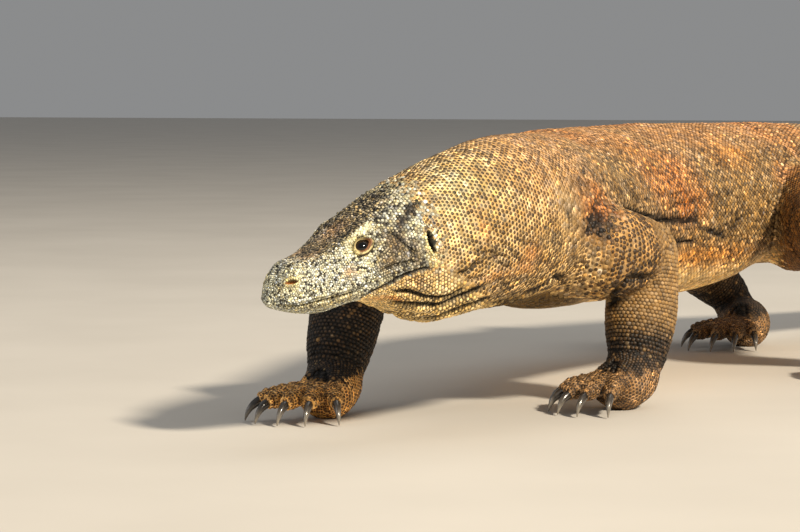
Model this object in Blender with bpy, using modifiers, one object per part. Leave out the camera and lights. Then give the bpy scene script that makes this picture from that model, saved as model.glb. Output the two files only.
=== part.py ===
# Komodo dragon, adult male, as a still life-size model in a slow walk.
# Metres, +Z up. The animal faces -Y, its left side is +X, and its feet stand on z = 0.

import bmesh
import bpy
import numpy as np
from mathutils import Vector

GAP = 0.0003                # play between two nodes that meet
SPINE_ANCHOR = 0.40         # distance along the spine that lies at SPINE_ANCHOR_XY
SPINE_ANCHOR_XY = (0.0, 0.085)

# The spine, from snout tip to tail tip. Columns: distance along it, half width of the body,
# height of the back above the axis, depth of the belly below it, roundness of the section above
# and below the axis (2 is an ellipse), height of the axis above the floor, and heading of the
# axis in degrees, where 0 runs straight back along +Y.
STATIONS = {
    "snout tip":      (0.000, 0.0049, 0.0060, 0.0032, 2.0, 2.0, 0.1255, 26.5),
    "rostral":        (0.002, 0.0125, 0.0123, 0.0042, 2.0, 2.0, 0.1257, 26.5),
    "lip front":      (0.006, 0.0201, 0.0178, 0.0080, 2.0, 2.0, 0.1264, 26.5),
    "nostrils":       (0.014, 0.0275, 0.0240, 0.0127, 2.1, 2.2, 0.1280, 26.5),
    "snout":          (0.028, 0.0322, 0.0350, 0.0186, 2.2, 2.3, 0.1313, 26.5),
    "mid snout":      (0.046, 0.0363, 0.0358, 0.0225, 2.3, 2.4, 0.1360, 26.5),
    "before eyes":    (0.068, 0.0420, 0.0414, 0.0216, 2.4, 2.4, 0.1420, 26.5),
    "eyes":           (0.090, 0.0470, 0.0497, 0.0270, 2.4, 2.3, 0.1480, 26.5),
    "temples":        (0.112, 0.0518, 0.0588, 0.0408, 2.4, 2.1, 0.1540, 26.5),
    "jaw corner":     (0.136, 0.0565, 0.0668, 0.0562, 2.3, 2.0, 0.1595, 25.0),
    "ears":           (0.158, 0.0580, 0.0718, 0.0660, 2.2, 2.0, 0.1645, 21.5),
    "nape":           (0.185, 0.0590, 0.0773, 0.0678, 2.1, 2.0, 0.1700, 15.0),
    "throat":         (0.225, 0.0620, 0.0822, 0.0693, 2.0, 2.0, 0.1770, 5.0),
    "neck":           (0.275, 0.0680, 0.0862, 0.0742, 2.0, 2.0, 0.1820, -5.0),
    "neck base":      (0.325, 0.0770, 0.0862, 0.0770, 2.0, 2.0, 0.1840, -12.0),
    "shoulders":      (0.385, 0.0880, 0.0866, 0.0850, 2.1, 2.1, 0.1850, -16.0),
    "chest":          (0.465, 0.0940, 0.0855, 0.0930, 2.1, 2.2, 0.1840, -16.0),
    "ribs":           (0.565, 0.1020, 0.0895, 0.0950, 2.1, 2.3, 0.1840, -11.0),
    "belly front":    (0.685, 0.1100, 0.0900, 0.0990, 2.1, 2.4, 0.1840, -4.0),
    "belly":          (0.805, 0.1150, 0.0925, 0.1020, 2.1, 2.4, 0.1840, 3.0),
    "flank":          (0.905, 0.1090, 0.0910, 0.0970, 2.1, 2.3, 0.1850, 9.0),
    "groin":          (0.985, 0.0940, 0.0900, 0.0850, 2.1, 2.1, 0.1860, 13.0),
    "hips":           (1.065, 0.0820, 0.0890, 0.0740, 2.0, 2.0, 0.1870, 15.0),
    "tail base":      (1.155, 0.0710, 0.0860, 0.0650, 2.0, 2.0, 0.1860, 13.0),
    "tail root":      (1.250, 0.0620, 0.0780, 0.0580, 2.0, 2.0, 0.1760, 8.0),
    "upper tail":     (1.395, 0.0490, 0.0640, 0.0490, 2.0, 2.0, 0.1430, -2.0),
    "mid tail":       (1.585, 0.0370, 0.0500, 0.0390, 2.0, 2.0, 0.0930, -14.0),
    "tail landing":   (1.825, 0.0260, 0.0360, 0.0290, 2.0, 2.0, 0.0420, -18.0),
    "laid tail":      (2.065, 0.0170, 0.0260, 0.0210, 2.0, 2.0, 0.0205, -4.0),
    "lower tail":     (2.295, 0.0095, 0.0155, 0.0125, 2.0, 2.0, 0.0120, 16.0),
    "tail end":       (2.425, 0.0050, 0.0080, 0.0065, 2.0, 2.0, 0.0060, 26.0),
    "tail tip":       (2.485, 0.0015, 0.0020, 0.0020, 2.0, 2.0, 0.0018, 30.0),
}

# Nodes of the spine: start, end, number of rings, corners of each ring.
SPINE_NODES = {
    "head":       (0.000, 0.165, 20, 24),
    "neck":       (0.165, 0.325, 8, 24),
    "chest":      (0.325, 0.520, 8, 24),
    "belly":      (0.520, 0.800, 8, 24),
    "hips":       (0.800, 1.090, 9, 24),
    "tail_base":  (1.090, 1.350, 7, 24),
    "tail_upper": (1.350, 1.700, 8, 18),
    "tail_lower": (1.700, 2.080, 9, 14),
    "tail_tip":   (2.080, 2.485, 9, 10),
}

# Swellings and hollows of the head, the same on both sides: distance along the spine, angle up
# from the side, reach along, reach around in degrees, and height (negative for a hollow).
HEAD_RELIEF = {
    "nostril swelling": (0.016, 50, 0.009, 22, 0.0016),
    "canthus ridge":    (0.058, 56, 0.026, 10, 0.0018),
    "brow ridge":       (0.089, 54, 0.017, 9, 0.0042),
    "lore hollow":      (0.057, 32, 0.018, 14, -0.0020),
    "eye hollow":       (0.085, 34, 0.011, 11, -0.0026),
    "temple hollow":    (0.119, 43, 0.014, 13, -0.0014),
    "jaw muscle":       (0.130, -2, 0.018, 24, 0.0034),
    "crown groove":     (0.066, 90, 0.040, 15, -0.0014),
}

# Height of the mouth line above the spine's axis, from the snout tip to the mouth's corner.
MOUTH_LINE = {0.000: 0.0000, 0.006: -0.0013, 0.016: -0.0034, 0.034: -0.0044, 0.052: -0.0056,
              0.067: -0.0053, 0.075: -0.0022, 0.086: 0.0018, 0.096: 0.0035, 0.122: 0.0050}
JAW_BLOCK_REACH = 0.090     # half width of the block that parts the jaw from the head, and its depth
JAW_BLOCK_FRONT = 0.010     # how far it stands out before the snout

# Each opening of the head's side: distance along the spine, degrees up from the side.
EYE_PLACE = (0.085, 36.0)
EAR_PLACE = (0.1405, 12.8)
NOSTRIL_PLACE = (0.0145, 43.5)
NOSTRIL_TILT = -37.0        # the slit runs down toward the rear by these degrees
EYE_RADIUS = 0.0092
EYE_PROUD = 0.0030          # how far the eyeball stands out of the head's side
SIDE_STEP = (0.004, 0.1)    # step along and turn around, in radians, that give the side's slope
EAR_SIZE = (0.0022, 0.0050, 0.0108)        # half sizes: along the head, into it, and up
NOSTRIL_SIZE = (0.0056, 0.0035, 0.0018)

# Each leg: side (+1 is the animal's left), then joint centres. The root lies inside the trunk.
LEGS = {
    "arm_left": {
        "side": 1, "kind": "arm", "heading": -20,
        "root": (0.015, 0.070, 0.165), "hip": (0.066, 0.090, 0.158),
        "knee": (0.087, 0.178, 0.150), "ankle": (0.091, 0.153, 0.045), "sole": (0.087, 0.124, 0.016)},
    "arm_right": {
        "side": -1, "kind": "arm", "heading": 0,
        "root": (-0.015, 0.080, 0.165), "hip": (-0.068, 0.075, 0.152),
        "knee": (-0.138, -0.010, 0.137), "ankle": (-0.131, -0.051, 0.045), "sole": (-0.124, -0.080, 0.016)},
    "leg_left": {
        "side": 1, "kind": "leg", "heading": -5,
        "root": (0.010, 0.700, 0.160), "hip": (0.050, 0.680, 0.165),
        "knee": (0.168, 0.525, 0.165), "ankle": (0.185, 0.605, 0.055), "sole": (0.180, 0.550, 0.018)},
    "leg_right": {
        "side": -1, "kind": "leg", "heading": 0,
        "root": (-0.020, 0.700, 0.160), "hip": (-0.060, 0.690, 0.155),
        "knee": (-0.170, 0.735, 0.162), "ankle": (-0.095, 0.845, 0.052), "sole": (-0.062, 0.800, 0.018)},
}

# Build of a fore leg and of a hind leg. Each radius pair is across the limb and along its depth.
LIMB_BUILD = {
    "arm": {
        "upper": ((0.050, 0.052), (0.048, 0.050), (0.036, 0.037)),
        "lower": ((0.036, 0.037), (0.036, 0.038), (0.0300, 0.0315)),
        "palm": ((0.0300, 0.027), (0.030, 0.0280), (0.024, 0.018)),
        "digit_lengths": (0.068, 0.080, 0.090, 0.094, 0.086),
        "digit_spread": (-42, -17, 1, 18, 38),
        "digit_radius": 0.0094, "claw_length": 0.027},
    "leg": {
        "upper": ((0.046, 0.048), (0.056, 0.064), (0.043, 0.046)),
        "lower": ((0.041, 0.044), (0.037, 0.040), (0.026, 0.028)),
        "palm": ((0.027, 0.026), (0.031, 0.0305), (0.025, 0.019)),
        "digit_lengths": (0.076, 0.100, 0.116, 0.128, 0.088),
        "digit_spread": (-33, -14, 1, 15, 46),
        "digit_radius": 0.0098, "claw_length": 0.027},
}
LIMB_BOW = 0.004            # how far the middle of the lower limb bows back
HEEL_SHARE = 0.72           # height of the heel's centre as a share of the ankle's
PALM_RISE = 0.008           # the palm's axis over the centre of the sole
PALM_FRONT = (0.018, 0.005) # end of the palm's axis ahead of and over the centre of the sole
ANKLE_CUT = 0.004           # the foot ends this far over the ankle's centre

# A toe's stations: metres and share of the toe's length ahead of the first knuckle, height over
# the floor, then half width and half depth as shares of the toe's radius.
DIGIT_START = 0.018         # from the centre of the sole to the first knuckle
DIGIT_STATIONS = {
    "in the palm": (-0.016, 0.00, 0.0260, 1.12, 1.05),
    "knuckle":     (0.000, 0.00, 0.0265, 1.12, 1.12),
    "arch":        (0.000, 0.34, 0.0255, 1.02, 1.08),
    "last joint":  (0.000, 0.60, 0.0225, 0.98, 1.05),
    "tip":         (0.000, 0.72, 0.0205, 0.80, 0.86),
}

# A claw follows an arc from its first to its last pitch, in degrees under the level.
CLAW_PITCH = (15.0, 80.0)
CLAW_ROOT = (0.70, 0.002)   # share of the toe's length, less this much that stays in the toe
CLAW_TIP_HEIGHT = 0.0012
CLAW_THICKNESS = (0.56, 0.06, 1.6)         # at root and tip over the toe's radius, and the taper's power
CLAW_SLIMNESS = 0.82
CLAW_STEPS = (0.0, 0.38, 0.72, 1.0)
CLAW_CORNERS = 6

LEG_VOXEL = 0.0026          # grain at which a leg's tubes are melted into one body
LIMB_SHARE = 0.0088         # part of the melted faces that the limb keeps
FOOT_SHARE = 0.0118         # part of them that the foot keeps
NODE_WORDS = {"arm": ("upper", "forearm", "hand"), "leg": ("thigh", "shank", "foot")}

COLOURS = {
    "flesh": (0.34, 0.27, 0.19, 1.0),
    "claw": (0.42, 0.40, 0.36, 1.0),
    "eye": (0.05, 0.03, 0.02, 1.0),
}


# Curves through stations.

def smooth_steps(knots, values, at):
    """A curve through the knots that doesn't swing past them (monotone cubic)."""
    knots, values, at = (np.asarray(item, float) for item in (knots, values, at))
    step = np.diff(knots)
    slope = np.diff(values) / step
    tangent = np.zeros_like(values)
    tangent[0], tangent[-1] = slope[0], slope[-1]
    before, after = 2 * step[1:] + step[:-1], step[1:] + 2 * step[:-1]
    rising = slope[:-1] * slope[1:] > 0
    safe_left = np.where(rising, slope[:-1], 1.0)
    safe_right = np.where(rising, slope[1:], 1.0)
    mean = (before + after) / (before / safe_left + after / safe_right)
    tangent[1:-1] = np.where(rising, mean, 0.0)
    return hermite(knots, values, tangent, at)


def hermite(knots, values, tangent, at):
    step = np.diff(knots)
    index = np.clip(np.searchsorted(knots, at) - 1, 0, len(step) - 1)
    t = np.clip((at - knots[index]) / step[index], 0, 1)
    h = step[index]
    return ((2 * t**3 - 3 * t**2 + 1) * values[index]
            + (t**3 - 2 * t**2 + t) * h * tangent[index]
            + (3 * t**2 - 2 * t**3) * values[index + 1]
            + (t**3 - t**2) * h * tangent[index + 1])


def flowing_path(points, count):
    """Points spread evenly along a smooth path through the given ones."""
    points = np.asarray(points, float)
    lengths = np.linalg.norm(np.diff(points, axis=0), axis=1)
    along = np.concatenate([[0], np.cumsum(lengths)])
    step = np.diff(along)[:, None]
    slope = np.diff(points, axis=0) / step
    tangent = np.empty_like(points)
    tangent[0], tangent[-1] = slope[0], slope[-1]
    tangent[1:-1] = (slope[:-1] * step[1:] + slope[1:] * step[:-1]) / (step[1:] + step[:-1])
    at = np.linspace(0, along[-1], count)
    path = np.stack([hermite(along, points[:, k], tangent[:, k], at) for k in range(3)], axis=1)
    return path, at, along


# The spine and its sections.

TABLE = np.array(list(STATIONS.values()))


def station_curve(column, distance):
    return smooth_steps(TABLE[:, 0], TABLE[:, column], distance)


def trace_spine(count=1200):
    """The axis as points with a backward, a leftward and an upward unit vector at each."""
    distance = np.linspace(0, TABLE[-1, 0], count)
    step = distance[1]
    height = station_curve(6, distance)
    heading = np.radians(station_curve(7, distance))
    level = np.sqrt(1 - np.gradient(height, step)**2)
    run_x, run_y = np.sin(heading) * level, np.cos(heading) * level
    x = np.concatenate([[0], np.cumsum((run_x[1:] + run_x[:-1]) / 2 * step)])
    y = np.concatenate([[0], np.cumsum((run_y[1:] + run_y[:-1]) / 2 * step)])
    x += SPINE_ANCHOR_XY[0] - np.interp(SPINE_ANCHOR, distance, x)
    y += SPINE_ANCHOR_XY[1] - np.interp(SPINE_ANCHOR, distance, y)
    centre = np.stack([x, y, height], axis=1)
    back = np.gradient(centre, step, axis=0)
    back /= np.linalg.norm(back, axis=1)[:, None]
    left = np.cross(back, (0, 0, 1.0))
    left /= np.linalg.norm(left, axis=1)[:, None]
    return {"distance": distance, "centre": centre, "back": back,
            "left": left, "up": np.cross(left, back)}


SPINE = trace_spine()


def on_spine(key, distance):
    columns = [np.interp(distance, SPINE["distance"], SPINE[key][:, k]) for k in range(3)]
    return np.stack(columns, axis=-1)


def signed_power(value, power):
    return np.sign(value) * np.abs(value)**power


def head_relief(distance, angle):
    """Height of the head's swellings and hollows, as a sum of bell curves."""
    total = np.zeros(np.broadcast(distance, angle).shape)
    for place, turn, reach_along, reach_around, height in HEAD_RELIEF.values():
        bell = np.exp(-((distance - place) / reach_along)**2)
        for side_turn in {turn, 180 - turn}:
            off = (angle - np.radians(side_turn) + np.pi) % (2 * np.pi) - np.pi
            total = total + height * bell * np.exp(-(off / np.radians(reach_around))**2)
    return total


def body_surface(distance, angle, grow=0.0):
    """Point of the skin at a distance along the spine and an angle up from the left side."""
    wide, above, below, round_above, round_below = (station_curve(k, distance) for k in range(1, 6))
    cosine, sine = np.cos(angle), np.sin(angle)
    power = 2 / np.where(sine > 0, round_above, round_below)
    lift = head_relief(distance, angle) + grow
    across = (wide + lift) * signed_power(cosine, power)
    upright = (np.where(sine > 0, above, below) + lift) * signed_power(sine, power)
    return (on_spine("centre", distance)
            + across[..., None] * on_spine("left", distance)
            + upright[..., None] * on_spine("up", distance))


# Meshes and objects.

def new_collection(name):
    collection = bpy.data.collections.new(name)
    bpy.context.scene.collection.children.link(collection)
    return collection


def new_material(name, colour, roughness):
    material = bpy.data.materials.new(name)
    material.use_nodes = True
    shader = material.node_tree.nodes["Principled BSDF"]
    shader.inputs["Base Color"].default_value = colour
    shader.inputs["Roughness"].default_value = roughness
    shader.inputs["Metallic"].default_value = 0.0
    return material


def add_loft(bm, rings):
    """Joins rings of like corner count into a closed tube with flat ends."""
    rows = [[bm.verts.new(point) for point in ring] for ring in rings]
    corners = len(rows[0])
    for row, following in zip(rows, rows[1:]):
        for k in range(corners):
            n = (k + 1) % corners
            bm.faces.new((row[k], row[n], following[n], following[k]))
    bm.faces.new(rows[0][::-1])
    bm.faces.new(rows[-1])
    return rows


def finish_mesh(bm, name):
    bm.normal_update()
    bmesh.ops.recalc_face_normals(bm, faces=bm.faces[:])
    mesh = bpy.data.meshes.new(name)
    bm.to_mesh(mesh)
    bm.free()
    return mesh


def loft_mesh(name, rings):
    bm = bmesh.new()
    add_loft(bm, rings)
    return finish_mesh(bm, name)


def add_object(name, mesh, collection, material=None):
    obj = bpy.data.objects.new(name, mesh)
    collection.objects.link(obj)
    if material:
        mesh.materials.clear()
        mesh.materials.append(material)
    mesh.shade_smooth()
    return obj


def add_cutter(name, mesh):
    cutter = add_object(name, mesh, CUTTERS)
    cutter.hide_render = True
    cutter.display_type = "WIRE"
    return cutter


def add_boolean(obj, cutter, operation="DIFFERENCE"):
    modifier = obj.modifiers.new(cutter.name, "BOOLEAN")
    modifier.object = cutter
    modifier.operation = operation


def cut_plane(mesh, point, normal):
    """Cuts away what lies on the normal's side of a plane and closes the cut flat."""
    bm = bmesh.new()
    bm.from_mesh(mesh)
    everything = bm.verts[:] + bm.edges[:] + bm.faces[:]
    cut = bmesh.ops.bisect_plane(bm, geom=everything, dist=0.00001, plane_co=point,
                                 plane_no=normal, clear_outer=True)
    edges = [item for item in cut["geom_cut"] if isinstance(item, bmesh.types.BMEdge)]
    bmesh.ops.holes_fill(bm, edges=edges)
    bmesh.ops.recalc_face_normals(bm, faces=bm.faces[:])
    bm.to_mesh(mesh)
    bm.free()


def settle_on_floor(mesh):
    """Flattens whatever dips under the floor into a small flat at floor level."""
    if min(vertex.co.z for vertex in mesh.vertices) < 0:
        cut_plane(mesh, (0, 0, 0), (0, 0, -1))


# Head, neck, trunk and tail.

def spine_rings(start, end, count, corners, grow=0.0, crowding=1.0):
    """Rings of the body from start to end; crowding over 1 sets them closer near the start."""
    distance = start + (end - start) * np.linspace(0, 1, count)[:, None]**crowding
    angle = np.linspace(0, 2 * np.pi, corners, endpoint=False)[None, :]
    distance, angle = np.broadcast_arrays(distance, angle)
    return body_surface(distance, angle, grow)


def jaw_block(name, inset):
    """Solid under the mouth line and in front of the mouth's corner, made smaller by inset."""
    distance = np.array(list(MOUTH_LINE))
    line = np.array(list(MOUTH_LINE.values()))
    distance[0], distance[-1] = -JAW_BLOCK_FRONT, distance[-1] - inset
    centre, left, up = (on_spine(key, np.clip(distance, 0, None)) for key in ("centre", "left", "up"))
    centre[0] += on_spine("back", 0.0) * distance[0]
    rings = []
    for k in range(len(distance)):
        top = centre[k] + up[k] * (line[k] - inset)
        low = centre[k] - up[k] * JAW_BLOCK_REACH
        aside = left[k] * JAW_BLOCK_REACH
        rings.append((top - aside, top + aside, low + aside, low - aside))
    return loft_mesh(name, rings)


def side_frame(place, side):
    """Point of the head's side with its backward, outward and upward unit vectors."""
    distance, degrees = place
    angle = np.radians(degrees if side > 0 else 180 - degrees)
    step, turn = SIDE_STEP
    along = np.array([distance, distance + step, distance - step])
    here, further, nearer = body_surface(along, np.full(3, angle))
    turns = np.array([angle + side * turn, angle - side * turn])
    turned, unturned = body_surface(np.full(2, distance), turns)
    backward = (further - nearer) / np.linalg.norm(further - nearer)
    outward = np.cross(backward, turned - unturned) * side
    outward /= np.linalg.norm(outward)
    return here, backward, outward, np.cross(outward, backward) * side


def tilted(frame, degrees):
    """The same frame, with its backward and upward vectors turned by an angle."""
    here, backward, outward, upward = frame
    turn = np.radians(degrees)
    return (here, backward * np.cos(turn) + upward * np.sin(turn), outward,
            upward * np.cos(turn) - backward * np.sin(turn))


def ball_mesh(name, frame, sizes, inset, turns, rows):
    """An ellipsoid in a frame of the head's side: half sizes along, into and up the side."""
    here, backward, outward, upward = frame
    bm = bmesh.new()
    bmesh.ops.create_uvsphere(bm, u_segments=turns, v_segments=rows, radius=1.0)
    axes = np.array([backward * sizes[0], outward * sizes[1], upward * sizes[2]])
    for vertex in bm.verts:
        vertex.co = Vector(np.array(vertex.co) @ axes + here - outward * inset)
    return finish_mesh(bm, name)


def build_head():
    start, end, count, corners = SPINE_NODES["head"]
    whole = loft_mesh("head", spine_rings(start, end - GAP / 2, count, corners, crowding=1.3))
    head = add_object("head", whole, PARTS, FLESH)
    add_boolean(head, add_cutter("jaw_room", jaw_block("jaw_room", -GAP / 2)))
    jaw = add_object("lower_jaw", whole.copy(), PARTS, FLESH)
    add_boolean(jaw, add_cutter("jaw_form", jaw_block("jaw_form", GAP / 2)), "INTERSECT")
    for side, word in ((1, "left"), (-1, "right")):
        eye_frame = side_frame(EYE_PLACE, side)
        inset = EYE_RADIUS - EYE_PROUD
        room_sizes, eye_sizes = [EYE_RADIUS + GAP] * 3, [EYE_RADIUS] * 3
        ear_frame = side_frame(EAR_PLACE, side)
        nostril_frame = tilted(side_frame(NOSTRIL_PLACE, side), NOSTRIL_TILT)
        rooms = {"eye": ball_mesh("eye_room", eye_frame, room_sizes, inset, 10, 7),
                 "ear": ball_mesh("ear_room", ear_frame, EAR_SIZE, 0.0, 8, 8),
                 "nostril": ball_mesh("nostril_room", nostril_frame, NOSTRIL_SIZE, 0.0, 8, 6)}
        for opening, mesh in rooms.items():
            add_boolean(head, add_cutter(f"{opening}_room_{word}", mesh))
        add_object(f"eye_{word}", ball_mesh("eye", eye_frame, eye_sizes, inset, 10, 7), PARTS, EYE)


def build_spine_nodes():
    for name, (start, end, count, corners) in SPINE_NODES.items():
        if name != "head":
            mesh = loft_mesh(name, spine_rings(start + GAP / 2, end - GAP / 2, count, corners))
            settle_on_floor(mesh)
            add_object(name, mesh, PARTS, FLESH)


def build_trunk_room():
    """The trunk grown by the play, which the legs are cut to fit."""
    rings = []
    for name in ("neck", "chest", "belly", "hips", "tail_base"):
        start, end, count, corners = SPINE_NODES[name]
        rings.extend(spine_rings(start, end, count, corners, GAP)[1 if rings else 0:])
    return add_cutter("trunk_room", loft_mesh("trunk_room", rings))


# Legs, feet and claws.

def tube_rings(points, radii, count, corners, depth_axis):
    """Rings of a tube with an oval section that changes along a path."""
    path, at, along = flowing_path(points, count)
    tangent = np.gradient(path, at, axis=0)
    tangent /= np.linalg.norm(tangent, axis=1)[:, None]
    across = np.cross(tangent, depth_axis)
    across /= np.linalg.norm(across, axis=1)[:, None]
    deep = np.cross(across, tangent)
    radii = np.asarray(radii, float)
    wide = smooth_steps(along, radii[:, 0], at)[:, None, None]
    thick = smooth_steps(along, radii[:, 1], at)[:, None, None]
    angle = np.linspace(0, 2 * np.pi, corners, endpoint=False)[None, :, None]
    return (path[:, None] + wide * np.cos(angle) * across[:, None]
            + thick * np.sin(angle) * deep[:, None])


def add_ball(bm, centre, radius):
    made = bmesh.ops.create_icosphere(bm, subdivisions=3, radius=radius)
    bmesh.ops.translate(bm, verts=made["verts"], vec=Vector(centre))


def digit_frames(leg, build):
    """Start, direction and length of each digit, thumb first."""
    sole = np.array(leg["sole"])
    for spread, length in zip(build["digit_spread"], build["digit_lengths"]):
        turn = np.radians(leg["heading"] + leg["side"] * spread)
        ahead = np.array([np.sin(turn), -np.cos(turn), 0.0])
        yield sole + ahead * DIGIT_START, ahead, length - DIGIT_START


def digit_tube(start, ahead, length, radius):
    """A toe: it rises to an arched knuckle, then comes down to the claw's root."""
    points, radii = [], []
    for step, share, height, wide, deep in DIGIT_STATIONS.values():
        place = start + ahead * (step + share * length)
        points.append((place[0], place[1], height))
        radii.append((radius * wide, radius * deep))
    return tube_rings(points, radii, 12, 14, (0, 0, 1))


def claw_rings(start, ahead, length, radius, claw_length, grow=0.0):
    """A claw that bends down along an arc to just above the floor."""
    first, last = np.radians(CLAW_PITCH)
    arc_radius = claw_length / (last - first)
    share, inset = CLAW_ROOT
    root = start + ahead * (share * length - inset)
    root[2] = CLAW_TIP_HEIGHT + arc_radius * (np.cos(first) - np.cos(last))
    at_root, at_tip, taper = CLAW_THICKNESS
    up = np.array([0, 0, 1.0])
    across = np.cross(ahead, up)
    angle = np.linspace(0, 2 * np.pi, CLAW_CORNERS, endpoint=False)[:, None]
    rings = []
    for t in CLAW_STEPS:
        pitch = first + (last - first) * t
        centre = (root + ahead * arc_radius * (np.sin(pitch) - np.sin(first))
                  - up * arc_radius * (np.cos(first) - np.cos(pitch)))
        deep = up * np.cos(pitch) + ahead * np.sin(pitch)
        size = radius * (at_tip + (at_root - at_tip) * (1 - t**taper)) + grow
        rings.append(centre + across * size * CLAW_SLIMNESS * np.cos(angle) + deep * size * np.sin(angle))
    if grow:
        rings[0] = rings[0] - (ahead * np.cos(first) - up * np.sin(first)) * grow
        rings[-1] = rings[-1] + (ahead * np.cos(last) - up * np.sin(last)) * grow
    return rings


def melted_leg(name, leg, build):
    """The leg's tubes as one smooth closed body, with few faces and with more of them."""
    joints = {key: np.array(leg[key]) for key in ("root", "hip", "knee", "ankle", "sole")}
    bm = bmesh.new()
    upper = (joints["root"], joints["hip"], joints["knee"])
    add_loft(bm, tube_rings(upper, build["upper"], 14, 24, (0, 0, 1)))
    add_ball(bm, joints["knee"], min(build["upper"][-1]))
    turn = np.radians(leg["heading"])
    ahead = np.array([np.sin(turn), -np.cos(turn), 0.0])
    middle = (joints["knee"] + joints["ankle"]) / 2 - ahead * LIMB_BOW
    add_loft(bm, tube_rings((joints["knee"], middle, joints["ankle"]), build["lower"], 14, 24, ahead))
    add_ball(bm, joints["ankle"], min(build["lower"][-1]))
    heel = joints["ankle"] * (1, 1, HEEL_SHARE) - ahead * LIMB_BOW
    palm = joints["sole"] + (0, 0, PALM_RISE)
    front = joints["sole"] + ahead * PALM_FRONT[0] + (0, 0, PALM_FRONT[1])
    add_loft(bm, tube_rings((heel, palm, front), build["palm"], 12, 20, (0, 0, 1)))
    for start, direction, length in digit_frames(leg, build):
        add_loft(bm, digit_tube(start, direction, length, build["digit_radius"]))
    rough = add_object(name, finish_mesh(bm, name), PARTS)
    remesh = rough.modifiers.new("melt", "REMESH")
    remesh.mode = "VOXEL"
    remesh.voxel_size = LEG_VOXEL
    soften = rough.modifiers.new("soften", "SMOOTH")
    soften.factor = 0.5
    soften.iterations = 5
    thin = rough.modifiers.new("thin", "DECIMATE")
    meshes = []
    for share in (LIMB_SHARE, FOOT_SHARE):
        thin.ratio = share
        meshes.append(evaluated_mesh(rough))
    bpy.data.objects.remove(rough, do_unlink=True)
    return meshes


def evaluated_mesh(obj):
    graph = bpy.context.evaluated_depsgraph_get()
    return bpy.data.meshes.new_from_object(obj.evaluated_get(graph))


def joint_plane(above, joint, below):
    """Unit normal of the plane that halves the bend at a joint, pointing down the limb."""
    arriving = (joint - above) / np.linalg.norm(joint - above)
    leaving = (below - joint) / np.linalg.norm(below - joint)
    normal = arriving + leaving
    return normal / np.linalg.norm(normal)


def build_leg(name, leg, trunk_room):
    build = LIMB_BUILD[leg["kind"]]
    upper, foot = melted_leg(name, leg, build)
    settle_on_floor(foot)
    joints = {key: np.array(leg[key]) for key in ("hip", "knee", "ankle", "sole")}
    knee_plane = joint_plane(joints["hip"], joints["knee"], joints["ankle"])
    ankle_plane = np.array((0, 0, -1.0))
    ankle_point = joints["ankle"] + (0, 0, ANKLE_CUT)
    lower = upper.copy()
    cut_plane(upper, joints["knee"] - knee_plane * GAP / 2, knee_plane)
    cut_plane(upper, ankle_point, ankle_plane)
    cut_plane(lower, joints["knee"] + knee_plane * GAP / 2, -knee_plane)
    cut_plane(lower, ankle_point - ankle_plane * GAP / 2, ankle_plane)
    cut_plane(foot, ankle_point + ankle_plane * GAP / 2, -ankle_plane)
    names = NODE_WORDS[leg["kind"]]
    upper_part = add_object(f"{name}_{names[0]}", upper, PARTS, FLESH)
    add_boolean(upper_part, trunk_room)
    lower_part = add_object(f"{name}_{names[1]}", lower, PARTS, FLESH)
    add_boolean(lower_part, trunk_room)
    foot_part = add_object(f"{name}_{names[2]}", foot, PARTS, FLESH)
    claw_room = bmesh.new()
    for number, (start, ahead, length) in enumerate(digit_frames(leg, build), start=1):
        sizes = (start, ahead, length, build["digit_radius"], build["claw_length"])
        claw = loft_mesh("claw", claw_rings(*sizes))
        add_object(f"{name}_claw_{number}", claw, PARTS, CLAW)
        add_loft(claw_room, claw_rings(*sizes, grow=GAP))
    add_boolean(foot_part, add_cutter(f"{name}_claw_room", finish_mesh(claw_room, "claw_room")))


def centre_on_origin():
    """Hangs all on an empty, moved so that the animal's box is centred over the origin."""
    graph = bpy.context.evaluated_depsgraph_get()
    corners = [np.array(corner) for part in PARTS.objects for corner in part.evaluated_get(graph).bound_box]
    middle = (np.min(corners, axis=0) + np.max(corners, axis=0)) / 2
    stance = bpy.data.objects.new("stance", None)
    PARTS.objects.link(stance)
    for item in list(PARTS.objects) + list(CUTTERS.objects):
        if item != stance:
            item.parent = stance
    stance.location = (-middle[0], -middle[1], 0)


# The whole animal.

for stale in list(bpy.data.objects):
    bpy.data.objects.remove(stale, do_unlink=True)

PARTS = new_collection("komodo_dragon")
CUTTERS = new_collection("cutters")
FLESH = new_material("flesh", COLOURS["flesh"], 0.75)
CLAW = new_material("claw", COLOURS["claw"], 0.35)
EYE = new_material("eye", COLOURS["eye"], 0.08)

build_head()
build_spine_nodes()
trunk_space = build_trunk_room()
for leg_name, leg_sizes in LEGS.items():
    build_leg(leg_name, leg_sizes, trunk_space)
centre_on_origin()
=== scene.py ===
import bmesh
import bpy
import numpy as np
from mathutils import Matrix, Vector
from mathutils.bvhtree import BVHTree
from mathutils.kdtree import KDTree


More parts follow.
